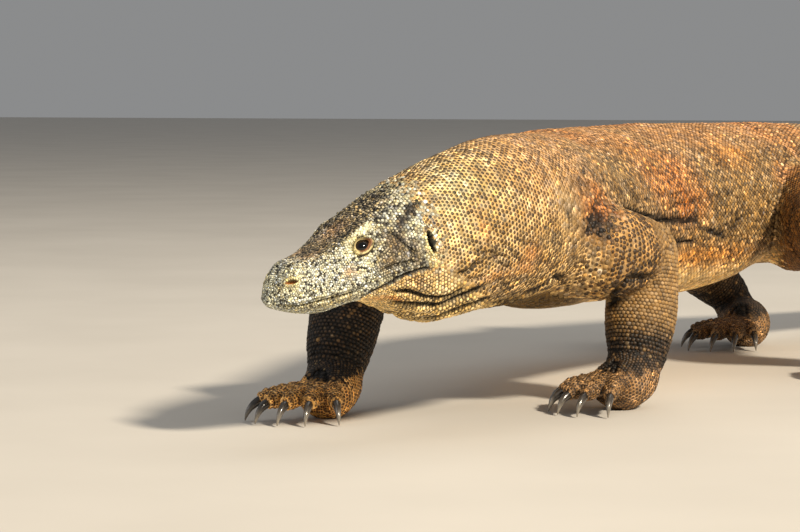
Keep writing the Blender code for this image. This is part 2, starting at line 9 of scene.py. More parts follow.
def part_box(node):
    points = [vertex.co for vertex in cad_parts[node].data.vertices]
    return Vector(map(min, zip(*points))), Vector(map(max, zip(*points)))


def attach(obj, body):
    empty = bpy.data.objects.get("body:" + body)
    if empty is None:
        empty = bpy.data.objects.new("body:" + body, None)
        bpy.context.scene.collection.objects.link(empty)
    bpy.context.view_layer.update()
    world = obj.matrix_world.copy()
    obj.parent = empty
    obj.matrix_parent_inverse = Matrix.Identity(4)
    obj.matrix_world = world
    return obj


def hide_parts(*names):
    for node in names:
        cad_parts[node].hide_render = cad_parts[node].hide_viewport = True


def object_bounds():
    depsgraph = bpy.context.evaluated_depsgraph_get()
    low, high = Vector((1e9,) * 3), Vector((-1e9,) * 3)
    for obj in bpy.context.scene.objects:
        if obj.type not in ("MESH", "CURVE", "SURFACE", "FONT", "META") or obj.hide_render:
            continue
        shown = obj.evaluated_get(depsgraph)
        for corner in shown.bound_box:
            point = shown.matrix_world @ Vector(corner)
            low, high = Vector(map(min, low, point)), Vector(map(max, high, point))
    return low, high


# Komodo dragon in a slow walk, life size. Metres; the animal faces -Y and its left side is +X.

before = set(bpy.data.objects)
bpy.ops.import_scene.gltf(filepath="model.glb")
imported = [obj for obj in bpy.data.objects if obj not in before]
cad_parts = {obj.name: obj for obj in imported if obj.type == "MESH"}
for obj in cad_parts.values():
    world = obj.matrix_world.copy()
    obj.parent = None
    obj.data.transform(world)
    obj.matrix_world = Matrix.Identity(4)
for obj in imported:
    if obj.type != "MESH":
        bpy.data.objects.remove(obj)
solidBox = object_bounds()
print("frame loaded:", len(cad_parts), "nodes")

# the body's lengthwise plan

# distance along the spine: half width, height above the axis, depth below it,
# roundness above and below (2 is an ellipse), axis height, heading in degrees (0 runs along +Y)
spine = {
    "samples": 1200, "anchorAt": 0.40, "anchorPlace": (0.0, 0.085),
    "stations": {
        "snout tip": (0.000, 0.0049, 0.0060, 0.0032, 2.0, 2.0, 0.1255, 26.5),
        "rostral": (0.002, 0.0125, 0.0123, 0.0042, 2.0, 2.0, 0.1257, 26.5),
        "lip front": (0.006, 0.0201, 0.0178, 0.0080, 2.0, 2.0, 0.1264, 26.5),
        "nostrils": (0.014, 0.0275, 0.0240, 0.0127, 2.1, 2.2, 0.1280, 26.5),
        "snout": (0.028, 0.0322, 0.0350, 0.0186, 2.2, 2.3, 0.1313, 26.5),
        "mid snout": (0.046, 0.0363, 0.0358, 0.0225, 2.3, 2.4, 0.1360, 26.5),
        "before eyes": (0.068, 0.0420, 0.0414, 0.0216, 2.4, 2.4, 0.1420, 26.5),
        "eyes": (0.090, 0.0470, 0.0497, 0.0270, 2.4, 2.3, 0.1480, 26.5),
        "temples": (0.112, 0.0518, 0.0588, 0.0408, 2.4, 2.1, 0.1540, 26.5),
        "jaw corner": (0.136, 0.0565, 0.0668, 0.0562, 2.3, 2.0, 0.1595, 25.0),
        "ears": (0.158, 0.0580, 0.0718, 0.0660, 2.2, 2.0, 0.1645, 21.5),
        "nape": (0.185, 0.0590, 0.0773, 0.0678, 2.1, 2.0, 0.1700, 15.0),
        "throat": (0.225, 0.0620, 0.0822, 0.0693, 2.0, 2.0, 0.1770, 5.0),
        "neck": (0.275, 0.0680, 0.0862, 0.0742, 2.0, 2.0, 0.1820, -5.0),
        "neck base": (0.325, 0.0770, 0.0862, 0.0770, 2.0, 2.0, 0.1840, -12.0),
        "shoulders": (0.385, 0.0880, 0.0866, 0.0850, 2.1, 2.1, 0.1850, -16.0),
        "chest": (0.465, 0.0940, 0.0855, 0.0930, 2.1, 2.2, 0.1840, -16.0),
        "ribs": (0.565, 0.1020, 0.0895, 0.0950, 2.1, 2.3, 0.1840, -11.0),
        "belly front": (0.685, 0.1100, 0.0900, 0.0990, 2.1, 2.4, 0.1840, -4.0),
        "belly": (0.805, 0.1150, 0.0925, 0.1020, 2.1, 2.4, 0.1840, 3.0),
        "flank": (0.905, 0.1090, 0.0910, 0.0970, 2.1, 2.3, 0.1850, 9.0),
        "groin": (0.985, 0.0940, 0.0900, 0.0850, 2.1, 2.1, 0.1860, 13.0),
        "hips": (1.065, 0.0820, 0.0890, 0.0740, 2.0, 2.0, 0.1870, 15.0),
        "tail base": (1.155, 0.0710, 0.0860, 0.0650, 2.0, 2.0, 0.1860, 13.0),
        "tail root": (1.250, 0.0620, 0.0780, 0.0580, 2.0, 2.0, 0.1760, 8.0),
        "upper tail": (1.395, 0.0490, 0.0640, 0.0490, 2.0, 2.0, 0.1430, -2.0),
        "mid tail": (1.585, 0.0370, 0.0500, 0.0390, 2.0, 2.0, 0.0930, -14.0),
        "tail landing": (1.825, 0.0260, 0.0360, 0.0290, 2.0, 2.0, 0.0420, -18.0),
        "laid tail": (2.065, 0.0170, 0.0260, 0.0210, 2.0, 2.0, 0.0205, -4.0),
        "lower tail": (2.295, 0.0095, 0.0155, 0.0125, 2.0, 2.0, 0.0120, 16.0),
        "tail end": (2.425, 0.0050, 0.0080, 0.0065, 2.0, 2.0, 0.0060, 26.0),
        "tail tip": (2.485, 0.0015, 0.0020, 0.0020, 2.0, 2.0, 0.0018, 30.0),
    },
}

# swellings and hollows, alike on both sides: distance, degrees up from the side,
# reach along, reach around in degrees, height
bodyForms = {
    "nostril swelling": (0.016, 50, 0.009, 22, 0.0016),
    "canthus ridge": (0.058, 56, 0.026, 10, 0.0018),
    "brow ridge": (0.089, 54, 0.017, 9, 0.0042),
    "lore hollow": (0.057, 32, 0.018, 14, -0.0020),
    "eye hollow": (0.085, 34, 0.011, 11, -0.0026),
    "temple hollow": (0.119, 43, 0.014, 13, -0.0014),
    "jaw muscle": (0.130, -2, 0.018, 24, 0.0034),
    "crown groove": (0.066, 90, 0.040, 15, -0.0014),
}

headParts = {
    "eyeAt": (0.085, 36.0), "eyeRadius": 0.0092, "eyeProud": 0.0030,
    "earAt": (0.1405, 12.8), "earHalf": (0.0030, 0.0106), "earDepth": 0.0070, "earTilt": 0.0,
    "earRim": (0.0014, 0.0022),       # height of the rim and how far out it stands
    "nostrilAt": (0.0145, 43.5), "nostrilHalf": (0.0058, 0.0019), "nostrilDepth": 0.0036,
    "nostrilTilt": -37.0, "nostrilRim": (0.0007, 0.0016),
    # height of the mouth line above the axis, by distance
    "mouthLine": {0.000: 0.0000, 0.006: -0.0013, 0.016: -0.0034, 0.034: -0.0044, 0.052: -0.0056,
                  0.067: -0.0053, 0.075: -0.0022, 0.086: 0.0018, 0.096: 0.0035, 0.122: 0.0050},
    "mouthCorner": 0.118, "mouthDepth": 0.0030, "mouthWidth": 0.0014, "lipSwell": 0.0009,
    "jawRecess": 0.0016, "recessEnd": (0.050, 0.090),
    # the lips swell so far off the mouth line and so broadly; the line fades behind its corner
    "lipOff": 0.0034, "lipWidth": 0.0026, "mouthFade": 0.012,
    # the lids' opening and outer edge, half sizes; the rear corner is drawn out by a share, and the
    # opening lies above the middle of the lids
    "lidOpening": (0.0056, 0.0047), "lidEdge": (0.0102, 0.0092), "rearCorner": 0.30,
    "openingRise": 0.0014,
    "lidBed": 0.0012, "ballBed": 0.0030,      # how low the skin lies under the lids and under the ball
}

# creases of the hide: depth, half width, then the places they pass as (distance, degrees)
creases = {
    "jaw edge": (0.0032, 0.0019, (
        (0.071, -46), (0.081, -27), (0.097, -15.5), (0.113, -7), (0.128, -4), (0.140, -8))),
    "throat high": (0.0050, 0.0024, (
        (0.098, -36), (0.108, -31), (0.117, -31), (0.135, -36), (0.154, -34), (0.173, -27))),
    "throat second": (0.0064, 0.0030, (
        (0.101, -63), (0.112, -52), (0.127, -47), (0.147, -43.5), (0.165, -37.5), (0.200, -34))),
    "throat third": (0.0060, 0.0030, (
        (0.115, -90), (0.125, -81), (0.136, -74), (0.147, -67), (0.157, -57), (0.173, -54), (0.215, -49))),
    "throat low": (0.0024, 0.0022, ((0.150, -88), (0.180, -74), (0.215, -66), (0.255, -60))),
    "neck notch": (0.0036, 0.0020, ((0.160, -14), (0.172, -14.5), (0.1765, -12), (0.184, -7))),
    "dewlap rear": (0.0062, 0.0032, (
        (0.262, -56), (0.292, -45), (0.299, -39.5), (0.308, -39.5), (0.336, -45))),
    "cheek long": (0.0024, 0.0015, ((0.088, 2.5), (0.100, 4.0), (0.112, 3.5), (0.124, 2.0))),
    "cheek rear": (0.0022, 0.0014, ((0.103, 41), (0.112, 32), (0.1165, 19), (0.1215, 10.5), (0.1245, 4))),
    "neck slack": (0.0020, 0.0020, ((0.215, -4), (0.226, -15), (0.240, -24))),
    "shoulder front": (0.0034, 0.0020, ((0.300, 14), (0.304, 4), (0.301, -8))),
    "shoulder second": (0.0034, 0.0020, ((0.352, 12), (0.358, 0), (0.352, -10))),
    "flank front": (0.0064, 0.0031, (
        (0.440, 7.5), (0.459, 6.1), (0.484, 4.3), (0.517, 2), (0.555, -0.3), (0.591, -2.2),
        (0.631, -3.5), (0.669, -3.5), (0.730, -4))),
    "flank low": (0.0050, 0.0024, ((0.612, -15), (0.649, -14), (0.674, -14.6), (0.722, -16))),
    "flank rear": (0.0050, 0.0024, ((0.738, -9.5), (0.747, -10.4), (0.771, -12.7), (0.801, -15.5))),
}

legs = {
    "arm_left": {
        "side": 1, "kind": "arm", "heading": -20,
        "root": (0.015, 0.070, 0.165), "hip": (0.066, 0.090, 0.158),
        "knee": (0.087, 0.178, 0.150), "ankle": (0.091, 0.153, 0.045), "sole": (0.087, 0.124, 0.016)},
    "arm_right": {
        "side": -1, "kind": "arm", "heading": 0,
        "root": (-0.015, 0.080, 0.165), "hip": (-0.068, 0.075, 0.152),
        "knee": (-0.138, -0.010, 0.137), "ankle": (-0.131, -0.051, 0.045), "sole": (-0.124, -0.080, 0.016)},
    "leg_left": {
        "side": 1, "kind": "leg", "heading": -5,
        "root": (0.010, 0.700, 0.160), "hip": (0.050, 0.680, 0.165),
        "knee": (0.168, 0.525, 0.165), "ankle": (0.185, 0.605, 0.055), "sole": (0.180, 0.550, 0.018)},
    "leg_right": {
        "side": -1, "kind": "leg", "heading": 0,
        "root": (-0.020, 0.700, 0.160), "hip": (-0.060, 0.690, 0.155),
        "knee": (-0.170, 0.735, 0.162), "ankle": (-0.095, 0.845, 0.052), "sole": (-0.062, 0.800, 0.018)},
}

# radii across the limb and along its depth
legBuild = {
    "arm": {
        "upper": ((0.050, 0.052), (0.048, 0.050), (0.036, 0.037)),
        "lower": ((0.036, 0.037), (0.036, 0.038), (0.0300, 0.0315)),
        "palm": ((0.0300, 0.027), (0.030, 0.0280), (0.024, 0.018)),
        "digitLengths": (0.068, 0.080, 0.090, 0.094, 0.086),
        "digitSpread": (-42, -17, 1, 18, 38),
        "digitRadius": 0.0094, "clawLength": 0.027},
    "leg": {
        "upper": ((0.046, 0.048), (0.056, 0.064), (0.043, 0.046)),
        "lower": ((0.041, 0.044), (0.037, 0.040), (0.026, 0.028)),
        "palm": ((0.027, 0.026), (0.031, 0.0305), (0.025, 0.019)),
        "digitLengths": (0.076, 0.100, 0.116, 0.128, 0.088),
        "digitSpread": (-33, -14, 1, 15, 46),
        "digitRadius": 0.0098, "clawLength": 0.027},
}

# folds of the limbs: depth, half width, then places as (part, share of its length, degrees)
limbFolds = {
    "arm": {
        "elbow": (0.0070, 0.0038, (
            ("lower", 0.57, 52), ("lower", 0.50, 78), ("upper", 0.52, -58), ("upper", 0.52, -46),
            ("upper", 0.54, -36), ("upper", 0.63, -32), ("upper", 0.82, -34))),
        "elbow upper": (0.0022, 0.0024, (("upper", 0.50, -30), ("upper", 0.60, -16), ("upper", 0.80, -12)))},
    "leg": {
        "knee": (0.0045, 0.0032, (
            ("upper", 0.62, -60), ("upper", 0.66, -30), ("upper", 0.72, 0), ("upper", 0.76, 25)))},
}
# grooves between the toes' roots: how far ahead and behind the knuckles, depth, half width
webs = {"ahead": 0.020, "behind": 0.014, "depth": 0.0040, "width": 0.0022, "above": 0.050}
# fields of small wrinkles: count, from and to distance, from and to degrees, length, lean in degrees
# over the length, depth, half width
wrinkleFields = {
    "shoulder": (40, 0.290, 0.420, -24, 30, 0.030, 12, 0.0023, 0.0013),
    "flank": (64, 0.430, 0.840, -30, 16, 0.050, -4, 0.0022, 0.0014),
    "high flank": (34, 0.430, 0.840, 16, 50, 0.045, 6, 0.0015, 0.0014),
    "neck side": (38, 0.165, 0.290, -34, 4, 0.026, -8, 0.0019, 0.0012),
    "throat": (40, 0.110, 0.260, -88, -34, 0.045, 6, 0.0016, 0.0011),
    "cheek": (26, 0.094, 0.132, -14, 30, 0.012, -8, 0.0007, 0.0008),
}
# rings round the limbs: part, shares of its length, depth, half width
limbRings = (
    ("lower", (0.72, 0.82, 0.90, 0.97), 0.0014, 0.0016),
    ("digit", (0.56, 0.70, 0.82, 0.93), 0.0020, 0.0013),
)
legShape = {
    "bow": 0.004, "heelShare": 0.72, "palmRise": 0.008, "palmFront": (0.018, 0.005),
    "digitStart": 0.018,
    # points along and round each tube, and round and over each joint ball
    "tubeRings": 24, "tubeCorners": 28, "ballRings": 14, "ballCorners": 24,
    "ballCap": 0.06,
}


# curves

# cubic pieces through the knots; each slope is the harmonic mean of its neighbours, so no overshoot
def smoothSteps(knots, values, at):
    knots, values, at = (np.asarray(item, float) for item in (knots, values, at))
    step = np.diff(knots)
    slope = np.diff(values) / step
    tangent = np.zeros_like(values)
    tangent[0], tangent[-1] = slope[0], slope[-1]
    before, after = 2 * step[1:] + step[:-1], step[1:] + 2 * step[:-1]
    rising = slope[:-1] * slope[1:] > 0
    safeLeft = np.where(rising, slope[:-1], 1.0)
    safeRight = np.where(rising, slope[1:], 1.0)
    tangent[1:-1] = np.where(rising, (before + after) / (before / safeLeft + after / safeRight), 0.0)
    return cubicThrough(knots, values, tangent, at)


# Hermite cubic: value and slope are given at each knot
def cubicThrough(knots, values, tangent, at):
    step = np.diff(knots)
    index = np.clip(np.searchsorted(knots, at) - 1, 0, len(step) - 1)
    t = np.clip((at - knots[index]) / step[index], 0, 1)
    h = step[index]
    return ((2 * t**3 - 3 * t**2 + 1) * values[index]
            + (t**3 - 2 * t**2 + t) * h * tangent[index]
            + (3 * t**2 - 2 * t**3) * values[index + 1]
            + (t**3 - t**2) * h * tangent[index + 1])


# sums of the steps before each knot, from 0
def runningSum(steps):
    return np.concatenate([[0], np.cumsum(steps)])


# points spread evenly along a smooth path; slopes are weighted means of the legs on each side
def flowingPath(points, count):
    points = np.asarray(points, float)
    lengths = np.linalg.norm(np.diff(points, axis=0), axis=1)
    along = runningSum(lengths)
    step = np.diff(along)[:, None]
    slope = np.diff(points, axis=0) / step
    tangent = np.empty_like(points)
    tangent[0], tangent[-1] = slope[0], slope[-1]
    tangent[1:-1] = (slope[:-1] * step[1:] + slope[1:] * step[:-1]) / (step[1:] + step[:-1])
    at = np.linspace(0, along[-1], count)
    path = np.stack([cubicThrough(along, points[:, k], tangent[:, k], at) for k in range(3)], axis=1)
    return path, at, along


# straight lines between a table's knots
def fromTable(table, at):
    return np.interp(at, list(table), list(table.values()))


# 3t^2 - 2t^3 between two limits, 0 below and 1 above
def ease(low, high, value):
    t = np.clip((np.asarray(value, float) - low) / (high - low), 0, 1)
    return t * t * (3 - 2 * t)


# angles of so many corners, evenly round
def roundTurn(count):
    return np.linspace(0, 2 * np.pi, count, endpoint=False)


# vectors over their own length
def unit(vectors):
    return vectors / np.maximum(np.linalg.norm(vectors, axis=-1, keepdims=True), 1e-12)


# seeded values at the corners of cubic cells, blended with 3t^2 - 2t^3 along each axis; -1 to 1
def cellNoise(points, cell, seed):
    values = np.random.default_rng(seed).uniform(-1, 1, 4096)
    base = np.floor(points / cell).astype(np.int64)
    t = points / cell - base
    t = t * t * (3 - 2 * t)
    total = np.zeros(len(points))
    for corner in np.ndindex(2, 2, 2):
        at = base + corner
        key = (at[:, 0] * 73856093 ^ at[:, 1] * 19349663 ^ at[:, 2] * 83492791) % 4096
        total += values[key] * np.prod(np.where(corner, t, 1 - t), axis=1)
    return total


# the trunk's surface

stations = np.array(list(spine["stations"].values()))
spineEnd = stations[-1, 0]


def station(column, distance):
    return smoothSteps(stations[:, 0], stations[:, column], distance)


# the axis: x and y are running sums of the level step turned by the heading, z is the axis height
def traceSpine():
    distance = np.linspace(0, spineEnd, spine["samples"])
    step = distance[1]
    height = station(6, distance)
    heading = np.radians(station(7, distance))
    level = np.sqrt(1 - np.gradient(height, step)**2)
    runs = np.stack([np.sin(heading) * level, np.cos(heading) * level], axis=1)
    flat = np.concatenate([[[0, 0]], np.cumsum((runs[1:] + runs[:-1]) / 2 * step, axis=0)])
    anchor = [np.interp(spine["anchorAt"], distance, flat[:, k]) for k in range(2)]
    flat += np.array(spine["anchorPlace"]) - anchor
    centre = np.column_stack([flat, height])
    back = unit(np.gradient(centre, step, axis=0))
    left = unit(np.cross(back, (0, 0, 1.0)))
    return {"distance": distance, "centre": centre, "back": back, "left": left, "up": np.cross(left, back)}


traced = traceSpine()


def onSpine(key, distance):
    columns = [np.interp(distance, traced["distance"], traced[key][:, k]) for k in range(3)]
    return np.stack(columns, axis=-1)


# sum of bell curves, each exp(-(along / reach)^2 - (around / reach)^2) times its height
def formLift(distance, angle):
    total = np.zeros(np.broadcast(distance, angle).shape)
    for place, turn, reachAlong, reachAround, height in bodyForms.values():
        bell = np.exp(-((distance - place) / reachAlong)**2)
        for sideTurn in {turn, 180 - turn}:
            off = (angle - np.radians(sideTurn) + np.pi) % (2 * np.pi) - np.pi
            total = total + height * bell * np.exp(-(off / np.radians(reachAround))**2)
    return total


# superellipse section: across = width cos^p, upright = height sin^p, with p = 2 / roundness
def sectionPoint(distance, angle, lift=0.0):
    wide, above, below, roundAbove, roundBelow = (station(k, distance) for k in range(1, 6))
    cosine, sine = np.cos(angle), np.sin(angle)
    power = 2 / np.where(sine > 0, roundAbove, roundBelow)
    lift = lift + formLift(distance, angle)
    across = (wide + lift) * np.sign(cosine) * np.abs(cosine)**power
    upright = (np.where(sine > 0, above, below) + lift) * np.sign(sine) * np.abs(sine)**power
    point = (onSpine("centre", distance) + across[..., None] * onSpine("left", distance)
             + upright[..., None] * onSpine("up", distance))
    return point, upright


# the same for the bare skin under the scales
def bareSection(distance, angle):
    return sectionPoint(distance, angle, -skinPlan["depth"])


# an angle on the left side as it is, on the right side mirrored, in radians
def sideAngle(degrees, side):
    return np.radians(degrees if side > 0 else 180 - degrees)


# a point of the head's side with its backward, outward and upward unit vectors
def sideFrame(place, side):
    distance, degrees = place
    angle = sideAngle(degrees, side)
    along = np.array([distance, distance + 0.004, distance - 0.004])
    here, further, nearer = sectionPoint(along, np.full(3, angle))[0]
    turns = np.array([angle + side * 0.1, angle - side * 0.1])
    turned, unturned = sectionPoint(np.full(2, distance), turns)[0]
    backward = unit(further - nearer)
    outward = unit(np.cross(backward, turned - unturned)) * side
    return here, backward, outward, np.cross(outward, backward) * side


# an opening's own frame, turned by its tilt in the plane of the head's side
def openingFrame(opening, side):
    here, backward, outward, upward = sideFrame(headParts[f"{opening}At"], side)
    tilt = np.radians(headParts[f"{opening}Tilt"])
    return (here, backward * np.cos(tilt) + upward * np.sin(tilt), outward,
            upward * np.cos(tilt) - backward * np.sin(tilt))


# points in such a frame: how far back, up and out
def inFrame(points, frameThere):
    here, backward, outward, upward = frameThere
    local = points - here
    return local @ backward, local @ upward, local @ outward


# the frame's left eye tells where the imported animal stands
def findStance():
    here, _, outward, _ = sideFrame(headParts["eyeAt"], 1)
    ball = here - outward * (headParts["eyeRadius"] - headParts["eyeProud"])
    low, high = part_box("eye_left")
    middle = (np.array(low) + np.array(high)) / 2
    return np.array([middle[0] - ball[0], middle[1] - ball[1], 0.0])


stance = findStance()
print("stance:", stance.round(5))


# meshes

# a mesh from points and sets of faces with equal numbers of corners
def makeMesh(name, points, faceSets):
    mesh = bpy.data.meshes.new(name)
    mesh.vertices.add(len(points))
    mesh.vertices.foreach_set("co", np.asarray(points, np.float32).ravel())
    corners = np.concatenate([faces.ravel() for faces in faceSets])
    sizes = np.concatenate([np.full(len(faces), faces.shape[1]) for faces in faceSets])
    mesh.loops.add(len(corners))
    mesh.loops.foreach_set("vertex_index", corners.astype(np.int32))
    mesh.polygons.add(len(sizes))
    mesh.polygons.foreach_set("loop_start", np.concatenate([[0], np.cumsum(sizes)[:-1]]).astype(np.int32))
    mesh.update(calc_edges=True)
    mesh.shade_smooth()
    return mesh


# an object from a mesh, a light or a camera
def addObject(name, data, material=None):
    obj = bpy.data.objects.new(name, data)
    bpy.context.scene.collection.objects.link(obj)
    if material:
        data.materials.append(material)
    return obj


# a piece of the animal: it rides on the root body
def addPiece(name, mesh, material):
    piece = addObject(name, mesh, material)
    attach(piece, "root")
    return piece


# one property of all items of a mesh as rows
def readRows(items, name, width, kind=np.float32):
    flat = np.empty(len(items) * width, kind)
    items.foreach_get(name, flat)
    return flat.reshape(-1, width)


def meshPoints(mesh):
    return readRows(mesh.vertices, "co", 3).astype(float)


def movePoints(mesh, points):
    mesh.vertices.foreach_set("co", points.astype(np.float32).ravel())
    mesh.update()


def triangles(mesh):
    mesh.calc_loop_triangles()
    return readRows(mesh.loop_triangles, "vertices", 3, np.int32)


def setColours(mesh, name, colours):
    layer = mesh.attributes.new(name, "FLOAT_COLOR", "POINT")
    whole = np.column_stack([colours, np.ones(len(colours))])
    layer.data.foreach_set("color", whole.astype(np.float32).ravel())


def setValues(mesh, name, values):
    layer = mesh.attributes.new(name, "FLOAT", "POINT")
    layer.data.foreach_set("value", np.asarray(values, np.float32))


# quads of a tube from rows of corners; the winding puts the outside out where corners turn
# leftward to up and rows run back
def tubeFaces(rows, corners, start=0):
    r, c = np.meshgrid(np.arange(rows - 1), np.arange(corners), indexing="ij")
    following = (c + 1) % corners
    quads = np.stack([r * corners + c, (r + 1) * corners + c,
                      (r + 1) * corners + following, r * corners + following], axis=-1)
    return quads.reshape(-1, 4) + start


# triangles from a ring to one point
def fanFaces(ring, tip, flip=False):
    following = np.roll(ring, -1)
    order = (ring, following) if flip else (following, ring)
    return np.column_stack([np.full(len(ring), tip), *order])


# rings closed at both ends by a fan to the ring's middle
def closedTube(grid):
    rows, corners = grid.shape[:2]
    points = np.concatenate([grid.reshape(-1, 3), [grid[0].mean(axis=0)], [grid[-1].mean(axis=0)]])
    first = np.arange(corners)
    last = first + (rows - 1) * corners
    return points, [tubeFaces(rows, corners), np.concatenate([fanFaces(first, rows * corners, True),
                                                              fanFaces(last, rows * corners + 1)])]


# shells as one set of points, each shell's faces counted on from the last
def joinShells(shells):
    points, faceSets, start = [], [], 0
    for shellPoints, shellFaces in shells:
        points.append(shellPoints)
        faceSets.extend(faces + start for faces in shellFaces)
        start += len(shellPoints)
    return np.concatenate(points), faceSets


def evaluated(obj):
    graph = bpy.context.evaluated_depsgraph_get()
    return bpy.data.meshes.new_from_object(obj.evaluated_get(graph))


def faceOut(mesh):
    bm = bmesh.new()
    bm.from_mesh(mesh)
    bm.normal_update()
    bmesh.ops.recalc_face_normals(bm, faces=bm.faces[:])
    bm.to_mesh(mesh)
    bm.free()


# the skin of head, trunk and tail

skinPlan = {
    "noseShort": 0.0006, "tailShort": 0.0030,      # how far the skin ends before the spine's ends
    "depth": 0.0019,        # how far the bare skin lies inside the solids, under the scales
    # spacing of the rings by distance
    "rings": {0.000: 0.0009, 0.020: 0.0012, 0.066: 0.0012, 0.073: 0.0008, 0.101: 0.0008, 0.108: 0.0013,
              0.130: 0.0012, 0.136: 0.0009, 0.150: 0.0009, 0.158: 0.0018, 0.172: 0.0028, 0.330: 0.0036,
              0.420: 0.0062, 1.250: 0.0080, 2.485: 0.0080},
    # corners of each ring from this distance on
    "bands": {0.0: 216, 0.25: 108, 0.95: 54, 1.70: 27},
    "sideCrowding": 0.8,    # so much denser are the corners of a ring at the sides
    # how far the snout's closing rings move forward, their places from 0.94 to 0.2 in 5 steps, and how
    # far the end points stand out
    "noseBulge": 0.0016, "noseCap": (0.94, 0.2, 5), "noseTip": 0.0002, "tailTip": 0.001,
    "limbVoxel": 0.0044, "handVoxel": 0.0027,
    # the joins are softened this far off, so many times
    "joinReach": 0.022, "joinRounds": 45,
    # depth and breadth of the slack in the hide, and the least height of the skin over the floor
    "slack": (0.0009, 0.030), "floorGap": 0.0004,
}


# ring distances where the running sum of 1 / spacing passes whole numbers
def ringPlaces():
    fine = np.linspace(skinPlan["noseShort"], spineEnd - skinPlan["tailShort"], 20000)
    spacing = fromTable(skinPlan["rings"], fine)
    count = runningSum(2 / (spacing[1:] + spacing[:-1]) * np.diff(fine))
    return np.interp(np.arange(int(count[-1]) + 1) * count[-1] / int(count[-1]), count, fine)


# corner angles where the running sum of 1 + crowding * bell(side) passes whole shares
def cornerAngles(count):
    fine = np.linspace(0, 2 * np.pi, 4001)
    toSide = np.degrees(np.arccos(np.clip(np.abs(np.cos(fine)), 0, 1)))
    density = 1 + skinPlan["sideCrowding"] * np.exp(-(toSide / 50)**2)
    total = runningSum((density[1:] + density[:-1]) / 2)
    return np.interp(np.arange(count) / count, total / total[-1], fine)


# height of the mouth line above the axis
def mouthHeight(distance):
    return smoothSteps(list(headParts["mouthLine"]), list(headParts["mouthLine"].values()), distance)


# the mouth line is a groove, -depth exp(-(off / width)^2), between two soft lips;
# in front the lower jaw stands back
def mouthLift(distance, upright):
    off = upright - mouthHeight(distance)
    corner = headParts["mouthCorner"]
    present = 1 - ease(corner, corner + headParts["mouthFade"], distance)
    groove = -headParts["mouthDepth"] * np.exp(-(off / headParts["mouthWidth"])**2)
    lips = headParts["lipSwell"] * np.exp(-((np.abs(off) - headParts["lipOff"]) / headParts["lipWidth"])**2)
    recess = headParts["jawRecess"] * (1 - ease(-0.001, 0.001, off))
    recess = recess * (1 - ease(*headParts["recessEnd"], distance))
    return (groove + lips) * present - recess


# angle at which the head's side is so far above the mouth line
def lipAngle(distance, off):
    dense = np.radians(np.linspace(-80, 45, 126))
    upright = bareSection(np.full(126, distance), dense)[1]
    return np.interp(mouthHeight(distance) + off, upright, dense)


# distance from the eye's middle over an oval's half sizes, the rear half drawn out as 1 + corner cos^4
def ovalShare(x, y, half):
    r = np.hypot(x / half[0], y / half[1])
    cosine = (x / half[0]) / np.maximum(r, 1e-9)
    return r / (1 + headParts["rearCorner"] * np.maximum(cosine, 0)**4)


# inside the lids' opening the skin dives under the ball, and under the lids it lies low
def shapeEye(points, side):
    frameThere = sideFrame(headParts["eyeAt"], side)
    x, y, z = inFrame(points, frameThere)
    radius, inset = headParts["eyeRadius"], headParts["eyeRadius"] - headParts["eyeProud"]
    ball = np.sqrt(np.maximum(radius**2 - x**2 - y**2, 0)) - inset
    inner = ovalShare(x, y, headParts["lidOpening"])
    outer = ovalShare(x, y, headParts["lidEdge"])
    low = np.minimum(z, -headParts["lidBed"])
    sunk = low + (np.minimum(ball - headParts["ballBed"], low) - low) * (1 - ease(1.0, 1.5, inner))
    near = (np.hypot(x, y) < 0.02) & (z > -0.02)
    wanted = z + (sunk - z) * (1 - ease(0.85, 1.05, outer))
    return points + np.where(near, wanted - z, 0.0)[..., None] * frameThere[2]


# an oval pit with a raised rim, in a frame of the head's side
def shapePit(points, opening, side, rim):
    frameThere = openingFrame(opening, side)
    half = headParts[f"{opening}Half"]
    x, y, z = inFrame(points, frameThere)
    off = np.hypot(x / half[0], y / half[1])
    near = (np.hypot(x, y) < 0.03) & (np.abs(z) < 0.02)
    beside = (np.hypot(x, y) - np.hypot(x, y) / np.maximum(off, 1e-6)) / rim[1]
    change = rim[0] * np.exp(-(beside - 1)**2) - headParts[f"{opening}Depth"] * (1 - ease(0.55, 1.15, off))
    return points + np.where(near, change, 0.0)[..., None] * frameThere[2]


